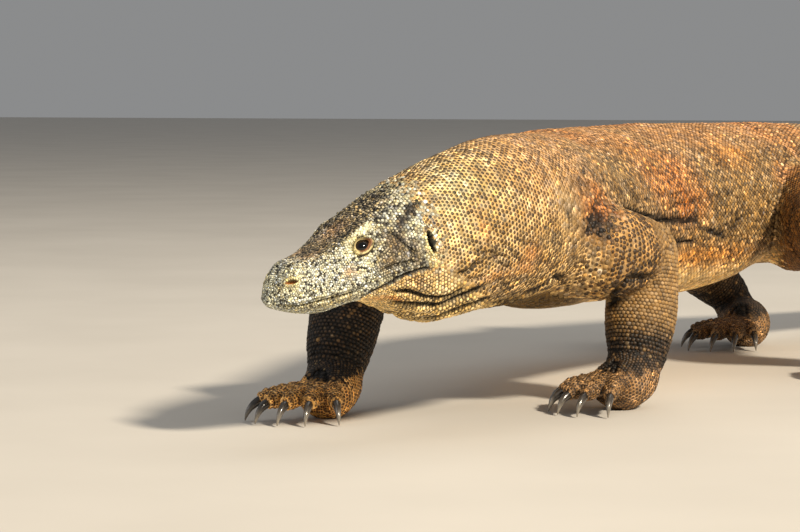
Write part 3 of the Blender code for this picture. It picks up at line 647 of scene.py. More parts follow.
# rings of section points from snout to tail; where the corners halve, three triangles join two to one
def trunkMesh():
    distance = ringPlaces()
    bands = list(skinPlan["bands"].items())
    starts = [*skinPlan["bands"], np.inf]
    whole = cornerAngles(bands[0][1])
    grids, faceSets, start, lastRing = [], [], 0, None
    # the snout is closed by rings that shrink as sqrt(1 - t^2) and move forward as t
    for (low, corners), high in zip(bands, starts[1:]):
        rows = distance[(distance >= low) & (distance < high)]
        angles = whole[::bands[0][1] // corners]
        s, a = np.broadcast_arrays(rows[:, None], angles[None, :])
        lift = mouthLift(s, bareSection(s, a)[1])
        points = sectionPoint(s, a, lift - skinPlan["depth"])[0]
        if low == 0:
            t = np.linspace(*skinPlan["noseCap"])[:, None, None]
            middle = points[0].mean(axis=0)
            forward = -onSpine("back", 0.0)
            cap = middle + (points[0] - middle) * np.sqrt(1 - t**2) + forward * skinPlan["noseBulge"] * t
            points = np.concatenate([cap, points])
        rowCount = len(points)
        ring = np.arange(corners) + start
        if lastRing is not None:
            even, odd, after = lastRing[::2], lastRing[1::2], np.roll(lastRing[::2], -1)
            following = np.roll(ring, -1)
            faceSets.append(np.concatenate([np.column_stack([even, ring, odd]),
                                            np.column_stack([odd, ring, following]),
                                            np.column_stack([odd, following, after])]))
        faceSets.append(tubeFaces(rowCount, corners, start))
        grids.append(points.reshape(-1, 3))
        start += rowCount * corners
        lastRing = ring + (rowCount - 1) * corners
    points = np.concatenate(grids)
    nose = points[:bands[0][1]].mean(axis=0) - onSpine("back", 0.0) * skinPlan["noseTip"]
    tip = onSpine("centre", spineEnd) + onSpine("back", spineEnd) * skinPlan["tailTip"]
    faceSets.append(np.concatenate([fanFaces(np.arange(bands[0][1]), start, True),
                                    fanFaces(lastRing, start + 1)]))
    for side in (1, -1):
        points = shapeEye(points, side)
        points = shapePit(points, "ear", side, headParts["earRim"])
        points = shapePit(points, "nostril", side, headParts["nostrilRim"])
    return makeMesh("trunkSkin", np.concatenate([points, [nose, tip]]), faceSets)


# legs

# a tube's path, side vector, depth vector and two radii at many samples
def makeTube(points, radii, depthAxis, samples=120):
    path, at, along = flowingPath(points, samples)
    tangent = unit(np.gradient(path, at, axis=0))
    across = unit(np.cross(tangent, depthAxis))
    radii = np.asarray(radii, float)
    return {"at": at, "path": path, "across": across, "deep": np.cross(across, tangent),
            "wide": smoothSteps(along, radii[:, 0], at), "thick": smoothSteps(along, radii[:, 1], at)}


# point = path + wide cos(angle) across + thick sin(angle) deep, on the bare skin
def onTube(tube, at, angle):
    def column(key):
        return np.stack([np.interp(at, tube["at"], tube[key][:, k]) for k in range(3)], axis=-1)
    wide = np.interp(at, tube["at"], tube["wide"]) - skinPlan["depth"]
    thick = np.interp(at, tube["at"], tube["thick"]) - skinPlan["depth"]
    return (column("path") + (wide * np.cos(angle))[..., None] * column("across")
            + (thick * np.sin(angle))[..., None] * column("deep"))


# level unit vector (sin, -cos) of the heading
def level(turn):
    return np.array([np.sin(turn), -np.cos(turn), 0.0])


# start, direction and length of each digit, thumb first
def digitFrames(leg):
    build = legBuild[leg["kind"]]
    frames = []
    for spread, length in zip(build["digitSpread"], build["digitLengths"]):
        ahead = level(np.radians(leg["heading"] + leg["side"] * spread))
        start = np.array(leg["sole"]) + ahead * legShape["digitStart"]
        frames.append((start, ahead, length - legShape["digitStart"]))
    return frames


# a toe rises to an arched knuckle, then comes down to the claw's root
digitShape = {
    # metres and share of the toe's length ahead of the knuckle, height, half width and depth over the radius
    "in the palm": (-0.016, 0.00, 0.0260, 1.12, 1.05),
    "knuckle": (0.000, 0.00, 0.0265, 1.12, 1.12),
    "arch": (0.000, 0.34, 0.0255, 1.02, 1.08),
    "last joint": (0.000, 0.60, 0.0225, 0.98, 1.05),
    "tip": (0.000, 0.72, 0.0205, 0.80, 0.86),
}


def legTubes(leg):
    build = legBuild[leg["kind"]]
    joints = {key: np.array(leg[key]) for key in ("root", "hip", "knee", "ankle", "sole")}
    ahead = level(np.radians(leg["heading"]))
    middle = (joints["knee"] + joints["ankle"]) / 2 - ahead * legShape["bow"]
    heel = joints["ankle"] * (1, 1, legShape["heelShare"]) - ahead * legShape["bow"]
    palm = joints["sole"] + (0, 0, legShape["palmRise"])
    front = joints["sole"] + ahead * legShape["palmFront"][0] + (0, 0, legShape["palmFront"][1])
    upright = (0, 0, 1.0)
    tubes = {
        "upper": makeTube((joints["root"], joints["hip"], joints["knee"]), build["upper"], upright),
        "lower": makeTube((joints["knee"], middle, joints["ankle"]), build["lower"], ahead),
        "palm": makeTube((heel, palm, front), build["palm"], upright),
    }
    for number, (start, direction, length) in enumerate(digitFrames(leg), start=1):
        points, radii = [], []
        for step, share, height, wide, deep in digitShape.values():
            points.append((start + direction * (step + share * length)) * (1, 1, 0) + (0, 0, height))
            radii.append((build["digitRadius"] * wide, build["digitRadius"] * deep))
        tubes[f"digit{number}"] = makeTube(points, radii, upright)
    return tubes


# closed shells melted into one by a voxel remesh and softened
def meltShells(name, shells, voxel):
    mesh = makeMesh(name, *joinShells(shells))
    faceOut(mesh)
    rough = addObject(name, mesh)
    melt = rough.modifiers.new("melt", "REMESH")
    melt.mode = "VOXEL"
    melt.voxel_size = voxel
    soften = rough.modifiers.new("soften", "SMOOTH")
    soften.factor = 0.5
    soften.iterations = 3
    rough.data = evaluated(rough)
    rough.modifiers.clear()
    return rough


# a leg is two melts: the limb with its joint balls, and the finer hand or foot
def legMeshes(name, leg, tubes):
    build = legBuild[leg["kind"]]
    shells = {"limb": [], "hand": []}
    for part, tube in tubes.items():
        at = np.linspace(0, tube["at"][-1], legShape["tubeRings"])
        turn = roundTurn(legShape["tubeCorners"])
        s, a = np.broadcast_arrays(at[:, None], turn[None, :])
        shell = closedTube(onTube(tube, s, a))
        shells["limb" if part in ("upper", "lower") else "hand"].append(shell)
    for joint, radius in (("knee", min(build["upper"][-1])), ("ankle", min(build["lower"][-1]))):
        t = np.linspace(legShape["ballCap"], np.pi - legShape["ballCap"], legShape["ballRings"])[:, None]
        a = roundTurn(legShape["ballCorners"])[None, :]
        shape = [np.sin(t) * np.cos(a), np.sin(t) * np.sin(a), np.cos(t) + a * 0]
        ball = np.array(leg[joint]) + (radius - skinPlan["depth"]) * np.stack(shape, axis=-1)
        shells["limb"].append(closedTube(ball))
    return [meltShells(f"{name}Limb", shells["limb"], skinPlan["limbVoxel"]),
            meltShells(f"{name}Hand", shells["hand"], skinPlan["handVoxel"])]


# neighbours' mean, repeated, where the weight is above zero
def relax(points, edges, weight, rounds):
    active = (weight[edges[:, 0]] > 0) | (weight[edges[:, 1]] > 0)
    a, b = edges[active].T
    count = np.bincount(np.concatenate([a, b]), minlength=len(points))
    free = (weight > 0) & (count > 0)
    for _ in range(rounds):
        total = np.stack([np.bincount(np.concatenate([a, b]), np.concatenate([points[b, k], points[a, k]]),
                                      minlength=len(points)) for k in range(3)], axis=1)
        mean = total[free] / count[free][:, None]
        points[free] += 0.5 * weight[free][:, None] * (mean - points[free])
    return points


def treeOf(mesh):
    return BVHTree.FromPolygons(meshPoints(mesh).tolist(), triangles(mesh).tolist())


def distancesTo(tree, points, limit):
    found = [tree.find_nearest(point, limit)[3] for point in points.tolist()]
    return np.array([limit if reach is None else reach for reach in found])


# how far a fold wanders, as a share of its width, and over what length
foldWander = {"fine": (0.4, 0.009), "broad": (0.5, 0.030), "fade": 0.16}
# small wrinkles: bend in degrees, shares of the field's length and depth
strewn = {"seed": 77, "bend": 1.2, "length": (0.5, 1.3), "depth": (0.5, 1.2)}
# beside a fold the hide swells: share of the depth, place and breadth in widths of the fold; how far
# a fold is felt, and the share of its depth at which it is kept a second time
foldSides = {"swell": 0.28, "swellAt": 2.6, "swellWide": 1.3, "felt": 6, "second": 0.45}


# a smooth line through places given as rows; its depth fades at both ends, and it wanders by noise
def foldLine(points, depth, width):
    line, at, _ = flowingPath(points, 10 * len(points))
    share = at / at[-1]
    fade = ease(0, foldWander["fade"], share) * ease(0, foldWander["fade"], 1 - share)
    (little, fine), (much, broad) = foldWander["fine"], foldWander["broad"]
    wander = np.stack([little * cellNoise(line, fine, seed) + much * cellNoise(line, broad, seed + 3)
                       for seed in (31, 32, 33)], axis=1)
    return line + width * wander, depth * fade, width


# a fold through places of the trunk's side
def bodyLine(distance, degrees, side, depth, width):
    return foldLine(bareSection(distance, sideAngle(degrees, side))[0], depth, width)


# seeded short creases strewn over a field, each a little bent
def strewnFolds():
    chance = np.random.default_rng(strewn["seed"])
    t = np.linspace(0, 1, 4)
    paths = []
    for count, near, far, low, high, length, lean, depth, width in wrinkleFields.values():
        for number in range(2 * count):
            start = chance.uniform(near, far)
            degrees = chance.uniform(low, high) + lean * t + chance.normal(0, strewn["bend"], 4)
            reach = length * chance.uniform(*strewn["length"])
            paths.append(bodyLine(start + reach * t, degrees, 1 if number % 2 else -1,
                                  depth * chance.uniform(*strewn["depth"]), width))
    return paths


# folds of one leg: the named ones, rings round the limb and grooves between the toes
def legFolds(leg, tubes):
    paths = []
    for depth, width, places in limbFolds[leg["kind"]].values():
        points = []
        for part, share, degrees in places:
            turn = sideAngle(degrees, leg["side"])
            points.append(onTube(tubes[part], share * tubes[part]["at"][-1], turn))
        paths.append(foldLine(points, depth, width))
    turn = np.linspace(0, 2 * np.pi, 33)
    for kind, shares, depth, width in limbRings:
        for tube in [tubes[part] for part in tubes if part.startswith(kind)]:
            for share in shares:
                ring = onTube(tube, np.full(33, share * tube["at"][-1]), turn)
                paths.append((ring, np.full(33, depth), width))
    frames = digitFrames(leg)
    for (first, firstAhead, _), (second, secondAhead, _) in zip(frames, frames[1:]):
        middle, ahead = (first + second) / 2, unit(firstAhead + secondAhead)
        steps = np.linspace(webs["ahead"], -webs["behind"], 4)[:, None]
        points = (middle + steps * ahead) * (1, 1, 0) + (0, 0, webs["above"])
        paths.append(foldLine(points, webs["depth"], webs["width"]))
    return paths


# folds of trunk and limbs as lines of points with a depth and a width each
def foldPaths(tubes):
    paths = strewnFolds()
    for depth, width, places in creases.values():
        distance, degrees = np.array(places, float).T
        paths.extend(bodyLine(distance, degrees, side, depth, width) for side in (1, -1))
    for name, leg in legs.items():
        paths.extend(legFolds(leg, tubes[name]))
    return paths


# nearness to each crease: exp(-(distance / width)^2) times its depth, the deepest wins; beside it the
# hide swells by a share of the depth, exp(-((gap - place) / breadth)^2)
def creaseShape(points, paths, widen=1.0):
    sunk = np.zeros(len(points))
    swell = np.zeros(len(points))
    for line, depth, width in paths:
        reach = foldSides["felt"] * width * widen
        low, high = line.min(axis=0) - reach, line.max(axis=0) + reach
        near = np.flatnonzero(np.all((points > low) & (points < high), axis=1))
        if len(near):
            gaps = np.linalg.norm(points[near][:, None] - line[None], axis=2)
            nearest = gaps.argmin(axis=1)
            gap = gaps[np.arange(len(near)), nearest] / (width * widen)
            sunk[near] = np.maximum(sunk[near], depth[nearest] * np.exp(-gap**2))
            beside = np.exp(-((gap - foldSides["swellAt"]) / foldSides["swellWide"])**2)
            swell[near] = np.maximum(swell[near], depth[nearest] * foldSides["swell"] * beside)
    return sunk, swell


def vertexNormals(mesh):
    return readRows(mesh.vertices, "normal", 3).astype(float)


# places, normals, face numbers and distances of the nearest points of a surface
def onSurface(tree, points):
    found = [tree.find_nearest(point) for point in points.tolist()]
    return [np.array([item[k] for item in found]) for k in range(4)]


# each fold's line is laid on the skin and, after pressing, kept at its own depth and at a share of it
def pressFolds(skin, paths):
    points, normals = meshPoints(skin), vertexNormals(skin)
    tree = treeOf(skin)
    onSkin, pressed = [], []
    for line, depth, width in paths:
        line, down = onSurface(tree, line)[:2]
        onSkin.append((line, depth, width))
        down = down * depth[:, None]
        both = np.concatenate([line - down, line - foldSides["second"] * down])
        pressed.append((both, np.tile(depth, 2), width))
    sunk, swell = creaseShape(points, onSkin)
    depth, breadth = skinPlan["slack"]
    slack = depth * cellNoise(points, breadth, 5) * ease(0.004, 0.03, points[:, 2])
    points = points + normals * (swell - sunk + slack)[:, None]
    points[:, 2] = np.maximum(points[:, 2], skinPlan["floorGap"])
    return points, pressed


# trunk and legs made one by union, the joins relaxed into fillets, then the creases pressed in
def wholeSkin(tubes):
    trunk = addObject("komodoSkin", trunkMesh())
    print("trunk skin:", len(trunk.data.vertices), "points")
    limbs = [limb for name in legs for limb in legMeshes(name, legs[name], tubes[name])]
    trees = [treeOf(part.data) for part in (trunk, *limbs)]
    for limb in limbs:
        union = trunk.modifiers.new(limb.name, "BOOLEAN")
        union.operation = "UNION"
        union.solver = "MANIFOLD"
        union.object = limb
    skin = evaluated(trunk)
    skin.name = "komodoSkin"
    trunk.modifiers.clear()
    trunk.data = skin
    for limb in limbs:
        bpy.data.objects.remove(limb, do_unlink=True)
    # near a second part's surface the skin is close to a join
    points = meshPoints(skin)
    reach = skinPlan["joinReach"]
    gaps = np.sort([distancesTo(tree, points, reach) for tree in trees], axis=0)[1]
    weight = 1 - ease(0.25, 1.0, gaps / reach)
    edges = readRows(skin.edges, "vertices", 2, np.int32)
    movePoints(skin, relax(points, edges, weight, skinPlan["joinRounds"]))
    points, paths = pressFolds(skin, foldPaths(tubes))
    movePoints(skin, np.clip(points + stance, *solidBox))
    skin.shade_smooth()
    print("whole skin:", len(triangles(skin)), "triangles,", len(paths), "folds")
    return trunk, paths


# roots of the scales

coatPlan = {
    # pitch of the scales by distance along the body
    "bodyPitch": {0.000: 0.0020, 0.050: 0.0021, 0.095: 0.0025, 0.140: 0.0033, 0.185: 0.0042, 0.330: 0.0045,
                  0.450: 0.0046, 0.900: 0.0048, 1.150: 0.0054, 1.500: 0.0062, 1.900: 0.0060, 2.200: 0.0050,
                  2.400: 0.0036, 2.485: 0.0030},
    "limbPitch": {"upper": 0.0052, "lower": 0.0044, "palm": 0.0035, "digit": 0.0030},
    "rowShare": 0.87,        # row spacing as a share of the pitch
    "countSlack": 0.07,      # rows keep their count until the pitch is off by this much
    "reach": {"body": 0.012, "upper": 0.012, "lower": 0.008, "palm": 0.006, "digit": 0.0045},
    "clearance": 0.76, "bareGap": 0.68, "fillSpacing": 0.62,
    # a filler's size is twice (gap - 0.44) pitches, between 0.45 and 0.95
    "fillRoom": (0.44, 0.45, 0.95), "fillCell": 0.007,
    "firstRow": 0.0015, "lastRow": 0.002,      # rows start and end so far from the ends
    # shares of the pitch by which scales are out of place: head up to a distance, body, limbs
    "looseHead": 0.15, "looseHeadTo": 0.15, "looseBody": 0.06, "looseLimb": 0.04,
    "grooveLimit": 0.0015,   # scales end where a groove is deeper than this
    "openingLimit": 0.35,    # and where they would hang over an opening
    "lipRows": (-0.0044, -0.0022, 0.0022, 0.0044), "lipPitch": 0.0025, "lipWide": 0.0022,
    "lipStart": 0.0012, "lipStep": 0.92, "lipClear": 0.0010,
    # ovals of scales round the openings: shares of the opening's half size, pitch
    "rims": {"nostril": ((1.25, 1.85), 0.0018), "ear": ((1.5, 2.6), 0.0026)}, "rimGrowth": 1.4,
    # strips of the unwrap from bottom to top: digits and palms, limbs, tail, head and trunk
    "strips": (0.005, 0.175, 0.185, 0.355, 0.365, 0.495, 0.505, 0.995), "tailFrom": 1.1,
    "seed": 11,
}


# the count of a row stays the last row's until it drifts from what the pitch asks
def rowCounts(lengths, pitches):
    counts, count = [], 0
    for wanted in lengths / pitches:
        if abs(wanted / max(count, 1) - 1) > coatPlan["countSlack"]:
            count = max(int(round(wanted)), 5)
        counts.append(count)
    return np.array(counts)


# scales of each row at equal shares of the ring's length, every other row moved by half a step;
# the rings are given as points at dense angles
def spreadOnRows(rings, dense, pitches):
    steps = np.linalg.norm(np.diff(rings, axis=1), axis=2)
    counts = rowCounts(steps.sum(axis=1), pitches)
    share = np.apply_along_axis(runningSum, 1, steps)
    lengths = share[:, -1]
    share = share / lengths[:, None]
    row = np.repeat(np.arange(len(counts)), counts)
    inRow = np.arange(len(row)) - np.repeat(np.cumsum(counts) - counts, counts)
    wanted = (inRow + 0.5 * (row % 2) + 0.25) / counts[row]
    flatShare = (share * 0.999999 + np.arange(len(share))[:, None]).ravel()
    flatAngle = (dense[None, :] + np.zeros((len(share), 1))).ravel()
    angle = np.interp(wanted * 0.999998 + row, flatShare, flatAngle)
    return row, angle, lengths[row] / counts[row], counts


# places of the rows: each a share of the pitch there behind the last
def marchRows(end, pitchAt):
    rows, at = [], coatPlan["firstRow"]
    while at < end:
        rows.append(at)
        at += pitchAt(at) * coatPlan["rowShare"]
    return np.array(rows)


# places and pitches of the rows along the spine
def bodyRows():
    pitches = coatPlan["bodyPitch"]
    rows = marchRows(spineEnd - coatPlan["lastRow"], lambda at: fromTable(pitches, at))
    return rows, fromTable(pitches, rows)


# place on the unwrap: u counts the rows, v goes round; the tail has a strip of its own
def bodyUnwrap(rows, distance, angle):
    at = np.interp(distance, rows, np.arange(len(rows)))
    split = np.interp(coatPlan["tailFrom"], rows, np.arange(len(rows)))
    share = ((angle + np.pi / 2) / (2 * np.pi)) % 1.0
    strips = coatPlan["strips"]
    u = np.where(at >= split, (at - split + 0.5) / (len(rows) - split), (at + 0.5) / (split + 1))
    low, high = np.where(at >= split, strips[4], strips[6]), np.where(at >= split, strips[5], strips[7])
    return 0.005 + 0.99 * u, low + (high - low) * share


# roots of the trunk: place, lie down the body, unwrap and sizes
def rootSet(rows, distance, angle, pitch, wide):
    point = bareSection(distance, angle)[0]
    ahead = bareSection(distance + 0.001, angle)[0]
    u, v = bodyUnwrap(rows, distance, angle)
    size = len(distance)
    return {
        "point": point, "lie": unit(ahead - point), "distance": distance,
        "degrees": np.degrees(np.arcsin(np.sin(angle))), "off": np.zeros(size),
        "limb": np.full(size, -1.0), "leg": np.zeros(size, int), "pitch": pitch, "wide": wide, "u": u, "v": v}


# rows round head, trunk and tail, each root a little out of place
def bodyRoots():
    rows, pitches = bodyRows()
    dense = np.linspace(-np.pi / 2, 1.5 * np.pi, 241)
    s, a = np.broadcast_arrays(rows[:, None], dense[None, :])
    rings = bareSection(s, a)[0]
    row, angle, wide, counts = spreadOnRows(rings, dense, pitches)
    distance = rows[row]
    jitter = np.random.default_rng(coatPlan["seed"])
    loose = np.where(distance < coatPlan["looseHeadTo"], coatPlan["looseHead"], coatPlan["looseBody"])
    distance = distance + jitter.uniform(-1, 1, len(row)) * loose * pitches[row]
    angle = angle + jitter.uniform(-1, 1, len(row)) * loose * 2 * np.pi / counts[row]
    roots = rootSet(rows, distance, angle, pitches[row], wide)
    # the lips have rows of their own
    upright = bareSection(distance, angle)[1]
    off = np.abs(upright - mouthHeight(distance))
    clear = off > coatPlan["lipRows"][-1] + coatPlan["lipClear"]
    return picked(roots, clear | (distance > headParts["mouthCorner"]))


# rows of scales along both edges of the mouth line
def lipRoots():
    rows = bodyRows()[0]
    pitch = coatPlan["lipPitch"]
    distances, angles = [], []
    for number, off in enumerate(coatPlan["lipRows"]):
        along = np.arange(coatPlan["lipStart"] + 0.5 * pitch * (number % 2), headParts["mouthCorner"],
                          pitch * coatPlan["lipStep"])
        turn = np.array([lipAngle(at, off) for at in along])
        distances.extend([along, along])
        angles.extend([turn, np.pi - turn])
    distance, angle = np.concatenate(distances), np.concatenate(angles)
    size = len(distance)
    return rootSet(rows, distance, angle, np.full(size, pitch), np.full(size, coatPlan["lipWide"]))


# ovals of small scales round nostrils and ears
def rimRoots():
    rows = bodyRows()[0]
    groups = []
    for opening, (shares, pitch) in coatPlan["rims"].items():
        half = np.array(headParts[f"{opening}Half"])
        place = headParts[f"{opening}At"]
        for side in (1, -1):
            here, backward, _, upward = openingFrame(opening, side)
            for share in shares:
                reach = half + (share - 1) * half.min() * coatPlan["rimGrowth"]
                count = int(2 * np.pi * np.sqrt((reach**2).mean()) / pitch)
                turn = np.arange(count) * 2 * np.pi / count
                offset = (reach[0] * np.cos(turn))[:, None] * backward
                offset = offset + (reach[1] * np.sin(turn))[:, None] * upward
                size = np.full(count, 1.0)
                roots = rootSet(rows, size * place[0], size * sideAngle(place[1], side), size * pitch,
                                size * pitch)
                roots["point"] = here + offset
                roots["distance"] = place[0] + offset @ onSpine("back", place[0])
                roots["degrees"] = place[1] + np.degrees(offset @ upward / 0.05)
                roots["u"] = roots["u"] + 0.004 * share * np.cos(turn)
                roots["v"] = roots["v"] + 0.004 * share * np.sin(turn)
                groups.append(roots)
    return joined(groups)


def joined(groups):
    return {key: np.concatenate([group[key] for group in groups]) for key in groups[0]}


# rows round one part of a leg
def tubeRoots(tube, pitch, limb, legNumber, box):
    end = tube["at"][-1]
    rows = marchRows(end, lambda at: pitch)
    dense = np.linspace(-np.pi / 2, 1.5 * np.pi, 121)
    s, a = np.broadcast_arrays(rows[:, None], dense[None, :])
    rings = onTube(tube, s, a)
    row, angle, wide, _ = spreadOnRows(rings, dense, np.full(len(rows), pitch))
    jitter = np.random.default_rng(coatPlan["seed"] + legNumber)
    at = rows[row] + jitter.uniform(-1, 1, len(row)) * coatPlan["looseLimb"] * pitch
    point = onTube(tube, at, angle)
    ahead = onTube(tube, at + 0.001, angle)
    behind = onTube(tube, at - 0.001, angle)
    share = (angle + np.pi / 2) / (2 * np.pi)
    size = len(row)
    return {
        "point": point, "lie": unit(ahead - behind), "leg": np.full(size, legNumber),
        "limb": limb[0] + (limb[1] - limb[0]) * at / end, "pitch": np.full(size, pitch), "wide": wide,
        "u": box[0] + (box[2] - box[0]) * at / end, "v": box[1] + (box[3] - box[1]) * share}


# where a leg's part lies on the unwrap: u from, v from, u to, v to
def unwrapBox(legNumber, part):
    left = 0.005 + 0.2485 * (legNumber - 1)
    strips = coatPlan["strips"]
    if part == "upper":
        return (left, strips[2], left + 0.125, strips[3])
    if part == "lower":
        return (left + 0.13, strips[2], left + 0.24, strips[3])
    if part == "palm":
        return (left, strips[0], left + 0.06, strips[1])
    number = int(part[-1])
    middle = (strips[0] + strips[1]) / 2
    column = left + 0.065 + 0.059 * ((number - 1) % 3)
    return (column, strips[0] if number > 3 else middle, column + 0.056,
            middle - 0.004 if number > 3 else strips[1])


def picked(roots, keep):
    return {key: values[keep] for key, values in roots.items()}


# the lie turned into the plane across the normal
def laidFlat(lie, normal):
    return unit(lie - (lie * normal).sum(axis=1, keepdims=True) * normal)


# each root moves to the nearest skin; those that the skin has left behind are dropped
def settleRoots(roots, tree, points, normals, faces, reach):
    place, _, face, moved = onSurface(tree, roots["point"] + stance)
    keep = moved < reach
    kept = picked(roots, keep)
    kept["point"] = place[keep]
    corners = faces[face[keep]]
    # the normal is the mean of the face's corners, each weighted by nearness
    gap = np.linalg.norm(points[corners] - kept["point"][:, None], axis=2)
    near = 1 / (gap + 1e-5)
    kept["normal"] = unit((normals[corners] * near[..., None]).sum(axis=1))
    kept["lie"] = laidFlat(kept["lie"], kept["normal"])
    return kept


# number of the nearest of some points to each of others, and how far off it is
def nearestOf(points, others):
    tree = KDTree(len(points))
    for index, point in enumerate(points.tolist()):
        tree.insert(point, index)
    tree.balance()
    found = [tree.find(other) for other in others.tolist()]
    return np.array([item[1] for item in found]), np.array([item[2] for item in found])


# bare places left between two sets of rows get roots of their own, spaced by the same pitch
def fillBare(roots, points, normals, faces):
    middle = points[faces].mean(axis=1)
    index, gap = nearestOf(roots["point"], middle)
    pitch = roots["pitch"][index]
    bare = np.flatnonzero(gap > coatPlan["bareGap"] * pitch)
    order = bare[np.argsort(-gap[bare] / pitch[bare], kind="stable")]
    grid, chosen = {}, []
    for face in order.tolist():
        size = pitch[face] * coatPlan["fillSpacing"]
        place = middle[face]
        key = tuple(np.floor(place / coatPlan["fillCell"]).astype(int).tolist())
        around = [other for dx in (-1, 0, 1) for dy in (-1, 0, 1) for dz in (-1, 0, 1)
                  for other in grid.get((key[0] + dx, key[1] + dy, key[2] + dz), ())]
        if all(np.dot(middle[other] - place, middle[other] - place) > size * size for other in around):
            grid.setdefault(key, []).append(face)
            chosen.append(face)
    chosen = np.array(chosen, int)
    extra = picked(roots, index[chosen])
    extra["point"] = middle[chosen]
    extra["normal"] = unit(normals[faces[chosen]].sum(axis=1))
    # a filler is as big as the room that its neighbours leave
    taken, least, most = coatPlan["fillRoom"]
    room = np.clip(2 * (gap[chosen] / pitch[chosen] - taken), least, most)
    extra["pitch"] = extra["pitch"] * room
    extra["wide"] = extra["pitch"]
    extra["lie"] = laidFlat(extra["lie"], extra["normal"])
    print("filled bare places:", len(chosen))
    return joined((roots, extra))


# the limbs' roots take distance and degrees from the nearest place of the trunk, with the gap to it
def placeOnBody(roots, body):
    index, roots["off"] = nearestOf(body["point"], roots["point"])
    roots["distance"], roots["degrees"] = body["distance"][index], body["degrees"][index]
    return roots


# where each part of a leg lies between the trunk (-1), the knee (1), the ankle (2) and the toe tips (3)
limbSpan = {"upper": (-0.6, 1.0), "lower": (1.0, 2.0), "palm": (2.0, 2.5), "digit": (2.4, 3.0)}


# all roots on the skin: toes and palms first, then limbs, rims, lips and body, each set kept clear of
# those before it
def plantRoots(skin, tubes):
    mesh = skin.data
    points, normals, faces = meshPoints(mesh), vertexNormals(mesh), triangles(mesh)
    tree = treeOf(mesh)
    groups = []
    onTrunk = bodyRoots()
    for legNumber, name in enumerate(legs, start=1):
        for part in ("digit1", "digit2", "digit3", "digit4", "digit5", "palm", "lower", "upper"):
            kind = part.rstrip("12345")
            roots = tubeRoots(tubes[name][part], coatPlan["limbPitch"][kind], limbSpan[kind],
                              legNumber, unwrapBox(legNumber, part))
            roots = placeOnBody(roots, onTrunk)
            groups.append(settleRoots(roots, tree, points, normals, faces, coatPlan["reach"][kind]))
    planted = groups[0]
    body = [settleRoots(roots, tree, points, normals, faces, coatPlan["reach"]["body"])
            for roots in (rimRoots(), lipRoots(), onTrunk)]
    for group in groups[1:] + body:
        gap = nearestOf(planted["point"], group["point"])[1]
        planted = joined((planted, picked(group, gap > coatPlan["clearance"] * group["pitch"])))
    print("rooted in rows:", len(planted["pitch"]))
    return fillBare(planted, points, normals, faces)


# colours of the hide

